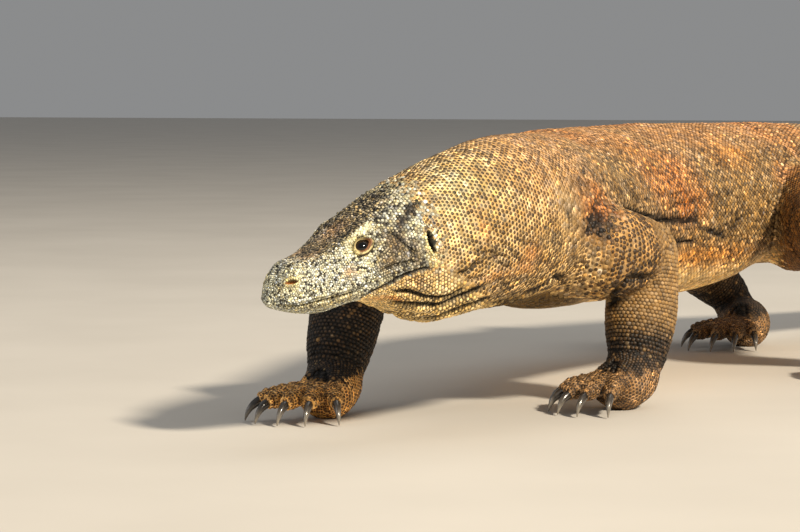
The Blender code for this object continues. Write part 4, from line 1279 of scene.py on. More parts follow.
# coats of the body's regions: pale and dark tone in everyday 0-255 colours, share of the dark in a
# scale's middle and rim, size of the middle spot, scatter of brightness, share of dark flecks
coats = {
    "flank": ((154, 122, 76), (62, 43, 24), 0.15, 0.88, 0.74, 0.50, 0.08),
    "back": ((188, 142, 94), (90, 60, 33), 0.15, 0.88, 0.74, 0.36, 0.05),
    "grey": ((152, 124, 82), (58, 42, 24), 0.15, 0.90, 0.72, 0.46, 0.10),
    "rust": ((190, 118, 54), (66, 38, 17), 0.12, 0.85, 0.72, 0.50, 0.14),
    "orange": ((206, 138, 58), (98, 58, 23), 0.10, 0.82, 0.74, 0.44, 0.05),
    # the belly coat: its own pale orange, made brighter by painted bounce light from below
    "belly": ((255, 216, 146), (216, 162, 100), 0.05, 0.40, 0.86, 0.30, 0.0),
    # the chest coat is painted shade under chest and neck, tinted olive as a painted reflection
    "chest": ((104, 74, 10), (40, 26, 3), 0.10, 0.82, 0.76, 0.30, 0.0),
    "neck": ((226, 188, 128), (56, 37, 16), 0.95, 0.05, 0.80, 0.28, 0.02),
    "nape": ((226, 208, 154), (66, 54, 34), 0.95, 0.05, 0.73, 0.30, 0.06),
    "upperNeck": ((204, 162, 112), (76, 52, 28), 0.92, 0.08, 0.73, 0.26, 0.03),
    "greyNeck": ((182, 152, 106), (78, 57, 33), 0.60, 0.30, 0.70, 0.36, 0.05),
    "neckOrange": ((222, 152, 80), (84, 48, 20), 0.80, 0.16, 0.70, 0.32, 0.02),
    "jowl": ((214, 176, 120), (40, 26, 12), 0.06, 0.84, 0.66, 0.34, 0.04),
    "throat": ((255, 220, 150), (50, 32, 15), 0.06, 0.78, 0.82, 0.26, 0.0),
    "throatOrange": ((240, 166, 86), (104, 60, 24), 0.05, 0.75, 0.72, 0.20, 0.0),
    "spots": ((92, 68, 43), (30, 22, 15), 0.30, 0.85, 0.66, 0.40, 0.50),
    "tail": ((168, 134, 90), (74, 54, 31), 0.20, 0.85, 0.72, 0.30, 0.04),
    "head": ((206, 205, 181), (32, 28, 22), 0.0, 0.60, 0.75, 0.34, 0.30),
    "crown": ((130, 117, 88), (26, 22, 17), 0.0, 0.66, 0.70, 0.52, 0.40),
    "snoutTan": ((170, 138, 106), (50, 39, 28), 0.0, 0.50, 0.72, 0.36, 0.24),
    "cheek": ((122, 104, 76), (44, 36, 25), 0.0, 0.66, 0.68, 0.44, 0.20),
    "brow": ((224, 221, 186), (94, 82, 56), 0.0, 0.25, 0.82, 0.12, 0.12),
    "temple": ((60, 53, 43), (20, 17, 13), 0.0, 0.70, 0.66, 0.34, 0.40),
    "lips": ((182, 170, 128), (62, 52, 34), 0.0, 0.60, 0.72, 0.30, 0.14),
    "earRim": ((224, 208, 144), (112, 94, 54), 0.0, 0.45, 0.76, 0.22, 0.06),
    "arm": ((192, 150, 92), (48, 31, 15), 0.95, 0.05, 0.84, 0.22, 0.0),
    "forearm": ((146, 115, 72), (46, 31, 17), 0.05, 0.66, 0.84, 0.18, 0.01),
    # the thigh coat: the thighs' own brown, darkened by painted shade
    "thigh": ((140, 94, 40), (50, 32, 12), 0.15, 0.88, 0.76, 0.36, 0.03),
    "wrist": ((58, 42, 25), (10, 7, 4), 0.05, 0.90, 0.68, 0.50, 0.12),
    "hand": ((252, 194, 112), (74, 43, 18), 0.95, 0.05, 0.74, 0.30, 0.03),
    "darkHand": ((168, 130, 86), (40, 26, 14), 0.92, 0.06, 0.76, 0.36, 0.10),
    "shadedArm": ((66, 48, 29), (11, 7, 4), 0.10, 0.92, 0.52, 0.46, 0.22),
}
# plain tones; the darkest is painted shade for the head's openings, the mouth line and the lids' margin and
# crease
plain = {
    "pitShade": (12, 8, 5), "nostril": (150, 92, 34), "lid": (212, 196, 140), "innerLid": (122, 80, 46),
    "rearLid": (88, 76, 58),
}

# patches of a coat: distance, degrees, reach along, reach around, strength
patches = (
    ("grey", 0.500, 30, 0.070, 30, 0.85), ("grey", 0.800, 0, 0.055, 11, 0.7),
    ("back", 0.770, 66, 0.120, 15, 0.5), ("rust", 0.358, 8, 0.036, 17, 1.0),
    ("spots", 0.352, -2, 0.028, 7, 1.1), ("spots", 0.318, -20, 0.008, 5, 0.7),
    ("greyNeck", 0.305, 12, 0.020, 24, 0.9), ("greyNeck", 0.262, -8, 0.014, 8, 0.6),
    ("nape", 0.190, 44, 0.036, 46, 0.95), ("jowl", 0.122, -16, 0.026, 13, 1.0),
    ("rust", 0.645, 26, 0.080, 20, 0.75), ("rust", 0.690, 6, 0.055, 11, 0.75),
    ("grey", 0.775, 20, 0.022, 20, 0.7), ("orange", 0.850, 37, 0.050, 10, 0.75),
    ("orange", 0.760, -30, 0.110, 9, 1.2), ("belly", 0.700, -46, 0.160, 12, 0.9),
    ("orange", 0.600, 52, 0.050, 9, 0.4), ("neckOrange", 0.193, 14, 0.007, 16, 0.6),
    ("neckOrange", 0.245, -14, 0.012, 9, 0.7), ("neckOrange", 0.225, -26, 0.035, 6, 0.6),
    ("spots", 0.199, -9.5, 0.004, 3, 0.9), ("spots", 0.188, -4.5, 0.003, 2, 0.8),
    ("throatOrange", 0.092, -56, 0.008, 9, 0.85), ("throatOrange", 0.106, -44, 0.011, 4, 0.85),
)
headPatches = (
    ("crown", 0.105, 92, 0.045, 36, 1.2), ("crown", 0.052, 84, 0.026, 32, 1.1),
    ("snoutTan", 0.080, 95, 0.013, 24, 0.8), ("snoutTan", 0.046, 72, 0.012, 12, 0.5),
    ("snoutTan", 0.066, 15, 0.006, 8, 0.7), ("cheek", 0.111, 22, 0.012, 17, 1.0),
    ("cheek", 0.100, 8, 0.013, 12, 0.9), ("cheek", 0.124, 8, 0.010, 14, 0.7),
    ("crown", 0.088, 63, 0.018, 7, 1.2), ("brow", 0.089, 51, 0.012, 3.6, 2.0),
    ("brow", 0.074, 42, 0.006, 7, 1.0), ("brow", 0.083, 20, 0.008, 5, 0.6),
    ("temple", 0.141, 47, 0.0050, 4, 1.8), ("temple", 0.134, 43.5, 0.0055, 4, 1.8),
    ("temple", 0.126, 39, 0.0055, 4, 1.7), ("temple", 0.121, 34, 0.0036, 5, 1.2),
    ("earRim", 0.0145, 43.5, 0.0080, 15, 0.8), ("earRim", 0.1365, 12, 0.0026, 15, 1.1),
    ("earRim", 0.142, -1, 0.0050, 5, 1.0), ("lips", 0.040, -26, 0.050, 20, 0.8),
)

# where one coat passes into the next: from and to, in degrees, in metres along the spine, in steps of
# the limb, or in the noise's own measure
zones = {
    "back": (28, 62), "belly": (-58, -24), "under": (-62, -46), "chestEnd": (0.40, 0.52),
    "grey": (0.05, 0.5), "rust": (0.25, 0.8), "neckEnd": (0.30, 0.46), "dewlapEnd": (0.22, 0.27),
    "upperNeck": (0.19, 0.30), "upperNeckRise": (-10, 40), "throat": (-8, 8), "tail": (1.10, 1.40),
    "headEnd": (0.128, 0.170), "jawStart": (0.070, 0.080), "jaw": (-3, 3),
    "forearm": (0.55, 0.85), "thighEnd": (0.9, 1.2), "wrist": (1.58, 1.90), "shaded": (0.2, 1.1),
    "low": (0.034, 0.046), "offBody": (0.003, 0.030),
    # the same for the scales' proportions
    "longBack": (25, 60), "longBackStart": (0.20, 0.40), "longTail": (1.0, 1.4),
    "flatBelly": (-60, -30), "flatBellyStart": (0.25, 0.40),
    "ribs": (-40, -14), "ribsStart": (0.09, 0.12), "ribsEnd": (0.25, 0.35),
    "shinStart": (1.0, 1.2), "shinEnd": (1.9, 2.1), "flatHeadEnd": (0.13, 0.17),
    "crown": (42, 56), "crownStart": (0.070, 0.085), "crownEnd": (0.150, 0.185),
    # edges of the head's openings, in shares of their half sizes
    "ear": (0.85, 1.25), "nostril": (0.85, 1.25), "lids": (0.80, 1.00),
    "nostrilTan": (0.9, 1.2), "nostrilRoof": (0.1, 0.8),
}
# how the scales' tones vary: brightness by breadth of the pattern, hue, size of the middle spot
toneSwing = {
    "middling": 0.16, "fine": 0.12, "streak": 0.16, "hue": 0.20, "middlingHue": 0.15, "spot": 0.12,
    "creaseShadeStrength": 0.85, "creaseShadeDepth": 0.0024,
    # painted shade in the creases: how dark at most, and the fold depth at which it is full
    "throatEdge": {0.071: -60, 0.081: -27, 0.097: -15.5, 0.113: -7, 0.128: -4, 0.150: -10,
                   0.175: -30, 0.210: -60},
}


# everyday colour to light: ((c + 0.055) / 1.055)^2.4, the darkest c / 12.92
def light(colour):
    value = np.array(colour) / 255
    return np.where(value <= 0.04045, value / 12.92, ((value + 0.055) / 1.055)**2.4)


# first + (second - first) share
def mixed(first, second, share):
    return first + (second - first) * np.reshape(share, (-1, 1))


# a coat as one row: pale tone, dark tone and its five shares
def coatRow(name):
    pale, dark, *shares = coats[name]
    return np.concatenate([light(pale), light(dark), shares])


# 0 before a zone and 1 behind it, and the other way round
def rise(zone, value):
    return ease(*zones[zone], value)


def fall(zone, value):
    return 1 - ease(*zones[zone], value)


# a share of another coat laid over one
def laid(coat, name, share):
    return mixed(coat, coatRow(name), share)


# a soft share made crisp, scale by scale: clip(3 (share - random) + 0.5) between 0 and 1
def sown(share, chance):
    return np.clip(3 * (share - chance.uniform(0.1, 0.9, len(share))) + 0.5, 0, 1)


# a patch's share is strength exp(-(along / reach)^2 - (around / reach)^2), made uneven by noise
def layPatches(coat, rows, distance, degrees, uneven):
    for name, place, turn, reachAlong, reachAround, strength in rows:
        window = np.exp(-((distance - place) / reachAlong)**2 - ((degrees - turn) / reachAround)**2)
        coat = laid(coat, name, np.clip(strength * window * uneven, 0, 1))
    return coat


# each scale's middle and rim colour and the size of its middle spot: coats laid over each other by place
def markings(roots, paths):
    point, distance, degrees, limb = (roots[key] for key in ("point", "distance", "degrees", "limb"))
    size = len(point)
    chance = np.random.default_rng(coatPlan["seed"] + 50)
    broad, middling, fine = [cellNoise(point, cell, seed)
                             for cell, seed in ((0.090, 1), (0.030, 2), (0.0036, 3))]
    # streaks that run back and down
    slanted = np.stack([distance + 0.0012 * degrees, 0.0008 * degrees, 0.4 * point[:, 0]], axis=1)
    streak = cellNoise(slanted, 0.009, 4)
    turn = degrees + 7 * broad
    ground = np.zeros((size, len(coatRow("flank"))))
    under = fall("under", turn)
    coat = laid(ground + coatRow("flank"), "back", rise("back", turn))
    # the belly's own pale orange, made brighter by painted bounce light from below
    coat = laid(coat, "belly", fall("belly", turn))
    coat = laid(coat, "grey", 0.7 * rise("grey", middling + 0.5 * broad))
    coat = laid(coat, "rust", 0.6 * rise("rust", 0.4 * middling - broad))
    # the underside of the chest, and of the neck behind the dewlap, gets painted shade with a painted olive
    # reflection
    coat = laid(coat, "chest", under * fall("chestEnd", distance))
    neck = fall("neckEnd", distance + 0.03 * broad)
    neck = neck * (1 - rise("dewlapEnd", distance) * under)
    upper = rise("upperNeck", distance) * rise("upperNeckRise", turn)
    neckCoat = laid(ground + coatRow("neck"), "upperNeck", upper)
    # the throat begins at the jaw's edge and drops behind it
    throatEdge = fromTable(toneSwing["throatEdge"], distance)
    neckCoat = laid(neckCoat, "throat", fall("throat", degrees - throatEdge))
    coat = mixed(coat, neckCoat, sown(neck, chance))
    coat = laid(coat, "tail", rise("tail", distance))
    coat = layPatches(coat, patches, distance, degrees, 1 + 0.5 * middling + 0.7 * streak)
    head = np.where(limb > -1, 0.0, 1.0)
    head = head * fall("headEnd", distance + 0.010 * middling)
    head = head * (1 - rise("jawStart", distance) * fall("jaw", degrees - throatEdge))
    headCoat = layPatches(ground + coatRow("head"), headPatches, distance, degrees,
                          1 + 0.3 * middling + 0.25 * fine)
    coat = mixed(coat, headCoat, sown(head, chance))
    # legs: net on the upper arm, pale beads on dark below, orange hands
    place, farArm = limb + 0.10 * middling, roots["leg"] == 2
    legCoat = laid(ground + coatRow("arm"), "forearm", rise("forearm", place))
    # the thighs' own brown, darkened by painted shade
    legCoat = laid(legCoat, "thigh", (roots["leg"] > 2) * fall("thighEnd", place))
    legCoat = laid(legCoat, "wrist", rise("wrist", place))
    # painted shade over the far arm from the upper arm down, and on its hand but for the lower toes
    legCoat = laid(legCoat, "shadedArm", farArm * rise("shaded", limb))
    low = sown((limb > 1.9) * fall("low", point[:, 2] + 0.005 * middling), chance)
    legCoat = laid(legCoat, "darkHand", low)
    legCoat = laid(legCoat, "hand", low * farArm)
    coat = mixed(coat, legCoat, sown(rise("offBody", roots["off"] + 0.006 * middling), chance))
    pale, dark = coat[:, :3], coat[:, 3:6]
    middleShare, rimShare, spot, scatter, flecks = coat[:, 6:].T
    fleck, rimFleck = (0.5 + 0.18 * fine + 0.32 * chance.uniform(-1, 1, size) < flecks for _ in range(2))
    own = np.exp(chance.normal(0, 1, size) * scatter + toneSwing["middling"] * middling
                 + toneSwing["fine"] * fine + toneSwing["streak"] * streak)[:, None]
    # hue swings between orange and grey: the blue most, the green a little
    hue = chance.normal(0, toneSwing["hue"], size) + toneSwing["middlingHue"] * middling
    own = own * np.exp(np.outer(hue, (0.0, 0.25, 1.0)))
    spot = spot * (1 + toneSwing["spot"] * chance.normal(0, 1, size))
    middle = mixed(pale, dark, np.where(fleck, 1.0, middleShare)) * own
    rim = mixed(pale, dark, np.where(rimFleck, 1.0, rimShare)) * own
    # creases get painted shade: the deeper the fold, the darker its scales
    sunk = creaseShape(point - stance, paths, 1.3)[0]
    creaseShading = 1 - toneSwing["creaseShadeStrength"] * np.clip(sunk / toneSwing["creaseShadeDepth"], 0, 1)[:, None]
    mottle = 0.8 + 1.3 * head - 0.3 * (limb > 0)
    return middle * creaseShading, rim * creaseShading, spot, mottle


# points in an opening's frame: back and up in metres, and whether they are near it at all
def besideOpening(points, frameThere):
    x, y, z = inFrame(points - stance, frameThere)
    return x, y, np.sqrt(x**2 + y**2 + z**2) < 0.03


# how deep inside the head's openings a point lies, 0 outside and 1 inside
def inOpenings(points):
    inside = np.zeros(len(points))
    for side in (1, -1):
        for opening in ("ear", "nostril"):
            half = headParts[f"{opening}Half"]
            x, y, near = besideOpening(points, openingFrame(opening, side))
            inside = np.maximum(inside, near * fall(opening, np.hypot(x / half[0], y / half[1])))
        x, y, near = besideOpening(points, sideFrame(headParts["eyeAt"], side))
        inside = np.maximum(inside, near * fall("lids", ovalShare(x, y, headParts["lidEdge"])))
    return inside


# the nostril is tan inside but for its upper edge, which keeps the painted shade of the openings
def nostrilTan(points):
    share = np.zeros(len(points))
    half = headParts["nostrilHalf"]
    for side in (1, -1):
        x, y, near = besideOpening(points, openingFrame("nostril", side))
        inside = near * fall("nostrilTan", np.hypot(x / half[0], y / half[1]))
        share = np.maximum(share, inside * fall("nostrilRoof", y / half[1]))
    return share


# the scales

scaleShape = {
    "corners": 6, "shoulder": 0.71, "shoulderHeight": 0.80, "sunk": 0.30,
    "fill": 1.14, "height": 0.21,      # half size over half pitch, and height over pitch
    "patch": 0.003, "edge": 0.16,      # width of the blend from the middle spot to the rim
    # scatter of turn, size and height; the least height over the floor
    "twist": 0.12, "own": 0.07, "rise": (0.8, 1.2), "floorGap": 0.0002,
}


# a dome: outer ring under the skin, shoulder ring, middle point; stretched along the lie and kept
# inside the solids' box
def scaleMesh(name, roots, middle, rim, spot, mottle):
    count = len(roots["pitch"])
    corners = scaleShape["corners"]
    chance = np.random.default_rng(count)
    turn = (np.arange(corners) + 0.5) * 2 * np.pi / corners
    flat = np.stack([np.cos(turn), np.sin(turn)], axis=1)
    shape = np.concatenate([flat, flat * scaleShape["shoulder"], [[0.0, 0.0]]])
    lift = np.concatenate([np.full(corners, -scaleShape["sunk"]),
                           np.full(corners, scaleShape["shoulderHeight"]), [1.0]])
    lie, normal = roots["lie"], roots["normal"]
    across = np.cross(lie, normal)
    twist = chance.normal(0, scaleShape["twist"], count)
    across, lie = (across * np.cos(twist)[:, None] + lie * np.sin(twist)[:, None],
                   lie * np.cos(twist)[:, None] - across * np.sin(twist)[:, None])
    own = chance.normal(1, scaleShape["own"], count)
    halfWide = roots["wide"] / 2 * scaleShape["fill"] * own * roots["stretchWide"]
    halfLong = roots["pitch"] / 2 * scaleShape["fill"] * own * roots["stretchLong"]
    height = roots["pitch"] * scaleShape["height"] * chance.uniform(*scaleShape["rise"], count)
    height = height * roots["tall"]
    perScale = len(shape)
    points = (roots["point"][:, None]
              + (halfWide[:, None] * shape[None, :, 0])[..., None] * across[:, None]
              + (halfLong[:, None] * shape[None, :, 1])[..., None] * lie[:, None]
              + (height[:, None] * lift[None])[..., None] * normal[:, None])
    points = points.reshape(-1, 3)
    points = np.clip(points, np.array(solidBox[0]) + (0, 0, scaleShape["floorGap"]), solidBox[1])
    k = np.arange(corners)
    n = (k + 1) % corners
    quads = np.column_stack([k, n, n + corners, k + corners])
    tris = np.column_stack([k + corners, n + corners, np.full(corners, 2 * corners)])
    start = (np.arange(count) * perScale)[:, None, None]
    faceSets = [(quads[None] + start).reshape(-1, 4), (tris[None] + start).reshape(-1, 3)]
    mesh = makeMesh(name, points, faceSets)
    setColours(mesh, "middleColour", np.repeat(middle, perScale, axis=0))
    setColours(mesh, "rimColour", np.repeat(rim, perScale, axis=0))
    # 0 in the middle spot and 1 outside it: (r - spot) / edge + 0.5
    radius = np.concatenate([np.full(corners, 1.0), np.full(corners, scaleShape["shoulder"]), [0.0]])
    setValues(mesh, "rimShare", ((radius[None] - spot[:, None]) / scaleShape["edge"] + 0.5).ravel())
    setValues(mesh, "mottle", np.repeat(mottle, perScale))
    # the bake's patch of each scale lies at its root's place on the unwrap
    place = np.stack([roots["u"], roots["v"]], axis=1)[:, None] + shape[None] * scaleShape["patch"] / 2
    loops = np.concatenate([faces.ravel() for faces in faceSets])
    layer = mesh.uv_layers.new(name="OFBake")
    layer.data.foreach_set("uv", place.reshape(-1, 2)[loops].astype(np.float32).ravel())
    return mesh


# how scales of a place differ from plain ones: shares by which they are longer, wider and taller
scaleStretch = {
    "back": (0.08, -0.06, 0.0), "tail": (0.10, -0.06, 0.0), "belly": (0.0, 0.04, -0.35),
    "throat": (-0.18, 0.06, 0.0), "shin": (-0.12, 0.08, 0.0), "head": (0.0, 0.0, -0.15),
    "limb": (0.0, 0.0, 0.15), "knob": (0.0, 0.0, 2.4),
}


# proportions of the scales: 1 + each place's share times its stretch; a few of the crown are tall knobs,
# as random^3
def proportion(roots):
    distance, degrees, limb = roots["distance"], roots["degrees"], roots["limb"]
    onBody = limb <= -1
    crown = onBody * (rise("crownStart", distance) * fall("crownEnd", distance))
    places = {
        "back": onBody * (rise("longBack", degrees) * rise("longBackStart", distance)),
        "tail": onBody * rise("longTail", distance),
        "belly": onBody * fall("flatBelly", degrees) * rise("flatBellyStart", distance),
        "throat": (onBody * fall("ribs", degrees) * rise("ribsStart", distance)
                   * fall("ribsEnd", distance)),
        "shin": rise("shinStart", limb) * fall("shinEnd", limb),
        "head": onBody * fall("flatHeadEnd", distance),
        "limb": np.where(onBody, 0.0, 1.0),
        "knob": crown * rise("crown", degrees) * np.random.default_rng(17).uniform(0, 1, len(distance))**3,
    }
    for column, name in enumerate(("stretchLong", "stretchWide", "tall")):
        roots[name] = np.ones(len(distance))
        for place, share in places.items():
            roots[name] = roots[name] + scaleStretch[place][column] * share
    return roots


coatPieces = {
    # body pieces by where they start along the spine
    "scales_head": 0.0, "scales_neck": 0.165, "scales_shoulders": 0.325, "scales_chest": 0.44,
    "scales_belly": 0.60, "scales_flanks": 0.76, "scales_hips": 0.92, "scales_tail_base": 1.12,
    "scales_tail": 1.40,
}


# the scales as pieces, by place along the spine and by leg
def buildCoat(roots, tones, material):
    names, starts = list(coatPieces), list(coatPieces.values())
    group = np.searchsorted(starts, roots["distance"], side="right") - 1
    onLeg = roots["limb"] > -1
    group = np.where(onLeg, len(names) + roots["leg"] - 1, np.clip(group, 0, len(names) - 1))
    names = names + [f"scales_{name}" for name in legs]
    total = 0
    for number, name in enumerate(names):
        mine = group == number
        mesh = scaleMesh(name, picked(roots, mine), *[values[mine] for values in tones])
        addPiece(name, mesh, material)
        count = int(mine.sum()) * scaleShape["corners"] * 3
        total += count
        print(name, int(mine.sum()), "scales,", count, "triangles")
    print("coat:", total, "triangles")


# finishes

# hides: name, scale of the grain, depth of its bumps, roughness from and to
hides = {
    "skin": ("komodoHide", 700.0, 0.0005, 0.55, 0.8),
    "scales": ("komodoScales", 1000.0, 0.0003, 0.42, 0.62),
    "lids": ("komodoLids", 1500.0, 0.0003, 0.4, 0.6),
}
hideFinish = {"fray": 0.6, "mottle": 0.6, "bump": 0.5, "shine": 0.35}
# claws and eyes: the attribute and a share of fine noise pass through a ramp of everyday colours
clawHorn = {
    "attribute": "alongClaw", "grain": 260.0, "share": 0.35,
    "stops": ((0.12, (18, 14, 11)), (0.34, (38, 33, 29)), (0.62, (66, 61, 56)), (1.0, (122, 115, 104))),
    "sockets": {"Coat Weight": 0.6, "Coat Roughness": 0.10},
    "rough": (0.12, 0.34), "bump": (0.35, 0.0004),
}
eyeDark = {
    "attribute": "fromPupil", "grain": 900.0, "share": 0.10,
    "stops": ((0.34, (4, 3, 3)), (0.42, (30, 19, 11)), (0.62, (22, 14, 9)), (0.80, (12, 8, 6))),
    "sockets": {"Roughness": 0.12, "Specular IOR Level": 0.3, "Coat Weight": 0.5, "Coat Roughness": 0.02},
}
paleFloor = {"grain": 3.0, "stops": ((0.3, (196, 191, 183)), (0.7, (204, 199, 191))), "rough": 0.8}


def newMaterial(name):
    material = bpy.data.materials.new(name)
    material.use_nodes = True
    nodes, links = material.node_tree.nodes, material.node_tree.links
    return material, nodes, links, nodes["Principled BSDF"]


def noiseNode(nodes, links, scale, detail=3.0):
    place = nodes.new("ShaderNodeTexCoord")
    noise = nodes.new("ShaderNodeTexNoise")
    noise.inputs["Scale"].default_value = scale
    noise.inputs["Detail"].default_value = detail
    links.new(place.outputs["Object"], noise.inputs["Vector"])
    return noise


def mapNode(nodes, links, socket, low, high):
    spread = nodes.new("ShaderNodeMapRange")
    spread.inputs["To Min"].default_value = low
    spread.inputs["To Max"].default_value = high
    links.new(socket, spread.inputs["Value"])
    return spread.outputs["Result"]


def bumpNode(nodes, links, socket, strength, distance):
    bump = nodes.new("ShaderNodeBump")
    bump.inputs["Strength"].default_value = strength
    bump.inputs["Distance"].default_value = distance
    links.new(socket, bump.inputs["Height"])
    return bump.outputs["Normal"]


# a sum or product of links and constants
def mathNode(nodes, links, operation, *values, clamp=False):
    node = nodes.new("ShaderNodeMath")
    node.operation = operation
    node.use_clamp = clamp
    for socket, value in zip(node.inputs, values):
        if isinstance(value, float):
            socket.default_value = value
        else:
            links.new(value, socket)
    return node.outputs["Value"]


def attributeNode(nodes, name):
    node = nodes.new("ShaderNodeAttribute")
    node.attribute_name = name
    return node.outputs


# hide colour times a fine grain; the grain also roughens and bumps
def hideMaterial(name, grain, bumpDepth, roughLow, roughHigh, spotted=False):
    material, nodes, links, shader = newMaterial(name)
    noise = noiseNode(nodes, links, grain).outputs["Fac"]
    mottle = hideFinish["mottle"]
    if spotted:
        # the grain frays the edge of each scale's middle spot
        fray = mapNode(nodes, links, noise, -hideFinish["fray"], hideFinish["fray"])
        rimShare, mottle = attributeNode(nodes, "rimShare")["Fac"], attributeNode(nodes, "mottle")["Fac"]
        colour = nodes.new("ShaderNodeMix")
        colour.data_type = "RGBA"
        links.new(mathNode(nodes, links, "ADD", rimShare, fray, clamp=True), colour.inputs["Factor"])
        links.new(attributeNode(nodes, "middleColour")["Color"], colour.inputs["A"])
        links.new(attributeNode(nodes, "rimColour")["Color"], colour.inputs["B"])
        tint = colour.outputs["Result"]
    else:
        tint = attributeNode(nodes, "hideColour")["Color"]
    # shade = 1 + mottle (2 noise - 1)
    swing = mapNode(nodes, links, noise, -1.0, 1.0)
    scaled = nodes.new("ShaderNodeVectorMath")
    scaled.operation = "SCALE"
    links.new(tint, scaled.inputs[0])
    links.new(mathNode(nodes, links, "MULTIPLY_ADD", swing, mottle, 1.0), scaled.inputs["Scale"])
    links.new(scaled.outputs["Vector"], shader.inputs["Base Color"])
    links.new(mapNode(nodes, links, noise, roughLow, roughHigh), shader.inputs["Roughness"])
    links.new(bumpNode(nodes, links, noise, hideFinish["bump"], bumpDepth), shader.inputs["Normal"])
    shader.inputs["Specular IOR Level"].default_value = hideFinish["shine"]
    return material


# a ramp of everyday colours, each turned to light as ((c + 0.055) / 1.055)^2.4
def ramp(nodes, links, socket, stops):
    node = nodes.new("ShaderNodeValToRGB")
    links.new(socket, node.inputs["Fac"])
    steps = node.color_ramp.elements
    while len(steps) < len(stops):
        steps.new(0.5)
    for step, (at, colour) in zip(steps, stops):
        step.position = at
        step.color = (*[((c / 255 + 0.055) / 1.055)**2.4 for c in colour], 1.0)
    return node.outputs["Color"]


# ramp of (share * noise + attribute) as the colour, and constants on the shader's own sockets
def rampedMaterial(name, plan):
    material, nodes, links, shader = newMaterial(name)
    grain = noiseNode(nodes, links, plan["grain"], 4.0).outputs["Fac"]
    along = attributeNode(nodes, plan["attribute"])["Fac"]
    spread = mathNode(nodes, links, "MULTIPLY_ADD", grain, plan["share"], along)
    links.new(ramp(nodes, links, spread, plan["stops"]), shader.inputs["Base Color"])
    for socket, value in plan["sockets"].items():
        shader.inputs[socket].default_value = value
    return material, nodes, links, shader, grain


def hornMaterial():
    material, nodes, links, shader, grain = rampedMaterial("clawHorn", clawHorn)
    links.new(mapNode(nodes, links, grain, *clawHorn["rough"]), shader.inputs["Roughness"])
    links.new(bumpNode(nodes, links, grain, *clawHorn["bump"]), shader.inputs["Normal"])
    return material


def floorMaterial():
    material, nodes, links, shader = newMaterial("paleFloor")
    grain = noiseNode(nodes, links, paleFloor["grain"]).outputs["Fac"]
    links.new(ramp(nodes, links, grain, paleFloor["stops"]), shader.inputs["Base Color"])
    shader.inputs["Roughness"].default_value = paleFloor["rough"]
    return material


# eyes, lids and claws

eyeShape = {
    "inset": 0.0002,             # how much smaller than the solids' ball
    "cornea": (0.035, 0.45),     # how far it stands out as a share of the radius, and its half width
    "rings": 40, "corners": 48, "darkTo": 1.2,
}


# a ball whose pole looks out of the head: radius (sin t cos a, sin t sin a, cos t), and the cornea
# stands proud by exp(-(t / width)^2)
def eyeMesh(side):
    here, backward, outward, upward = sideFrame(headParts["eyeAt"], side)
    radius = headParts["eyeRadius"] - eyeShape["inset"]
    centre = here - outward * (headParts["eyeRadius"] - headParts["eyeProud"]) + stance
    t = np.linspace(0.05, np.pi - 0.05, eyeShape["rings"])[:, None]
    a = roundTurn(eyeShape["corners"])[None, :]
    proud, width = eyeShape["cornea"]
    bulge = 1 + proud * np.exp(-(t / width)**2)
    grid = centre + radius * bulge[..., None] * (
        (np.sin(t) * np.cos(a))[..., None] * backward + (np.sin(t) * np.sin(a))[..., None] * upward
        + (np.cos(t) + 0 * a)[..., None] * outward)
    points, faceSets = closedTube(grid)
    mesh = makeMesh("eye", points, faceSets)
    faceOut(mesh)
    cosine = unit(points - centre) @ outward
    setValues(mesh, "fromPupil", np.arccos(np.clip(cosine, -1, 1)) / eyeShape["darkTo"])
    mesh.shade_smooth()
    return mesh


lidShape = {
    "rings": 22, "steps": 96,
    "margin": 0.0006,       # how far the lid's edge stands over the ball
    "crest": 0.0018,        # height of the lids over the side of the head
    "upperCrest": 0.0014,   # so much more on the upper lid
    "foot": -0.0026, "wrinkle": 0.00016, "wrinkles": 4, "fleck": 0.0016,
    "ballReach": 0.0068, "tuck": 0.0012,      # the ball counts up to here; the margin is tucked in behind
    # folds by place from the opening (0) to the outer edge (1): middle and half width of the crease's
    # painted shade, where the brown flesh ends and the grey-brown begins, and how much wider behind
    "crease": (0.46, 0.13), "innerEnd": (0.20, 0.36), "rearStart": (0.46, 0.58), "widen": 0.30,
    # share of the lids' dark flecks, and how far margin and crease go to the painted shade
    "fleckDark": 0.8, "dark": 0.9,
}


# a fleshy roll round the opening: from the ball up to the crest, (1 - ease) down to the foot
def lidMesh(side):
    here, backward, outward, upward = sideFrame(headParts["eyeAt"], side)
    radius, inset = headParts["eyeRadius"], headParts["eyeRadius"] - headParts["eyeProud"]
    turn = roundTurn(lidShape["steps"])[None, :]
    t = np.linspace(-0.08, 1, lidShape["rings"])[:, None]
    reach = 1 + headParts["rearCorner"] * np.maximum(np.cos(turn), 0)**4
    opening, edge = headParts["lidOpening"], headParts["lidEdge"]
    x = (opening[0] + (edge[0] - opening[0]) * t) * np.cos(turn) * reach
    y = (opening[1] + (edge[1] - opening[1]) * t) * np.sin(turn)
    y = y + headParts["openingRise"] * (1 - ease(0.0, 1.0, t))
    flat = np.minimum(x**2 + y**2, lidShape["ballReach"]**2)
    ball = np.sqrt(np.maximum(radius**2 - flat, 1e-8)) - inset
    crest = lidShape["crest"] + lidShape["upperCrest"] * np.maximum(np.sin(turn), 0)
    margin = ball + lidShape["margin"] * ease(-0.08, 0.02, t) - lidShape["tuck"] * (1 - ease(-0.08, 0.0, t))
    roll = margin + (crest - margin) * ease(0.0, 0.34, t)
    z = roll + (lidShape["foot"] - roll) * ease(0.45, 1.0, t)
    z = z + lidShape["wrinkle"] * np.sin(2 * np.pi * lidShape["wrinkles"] * t) * ease(0.05, 0.2, t)
    grid = (here + stance + x[..., None] * backward + y[..., None] * upward + z[..., None] * outward)
    rows, corners = grid.shape[:2]
    faces = tubeFaces(rows, corners)
    return makeMesh("lids", grid.reshape(-1, 3), [faces if side < 0 else faces[:, ::-1]]), t, turn
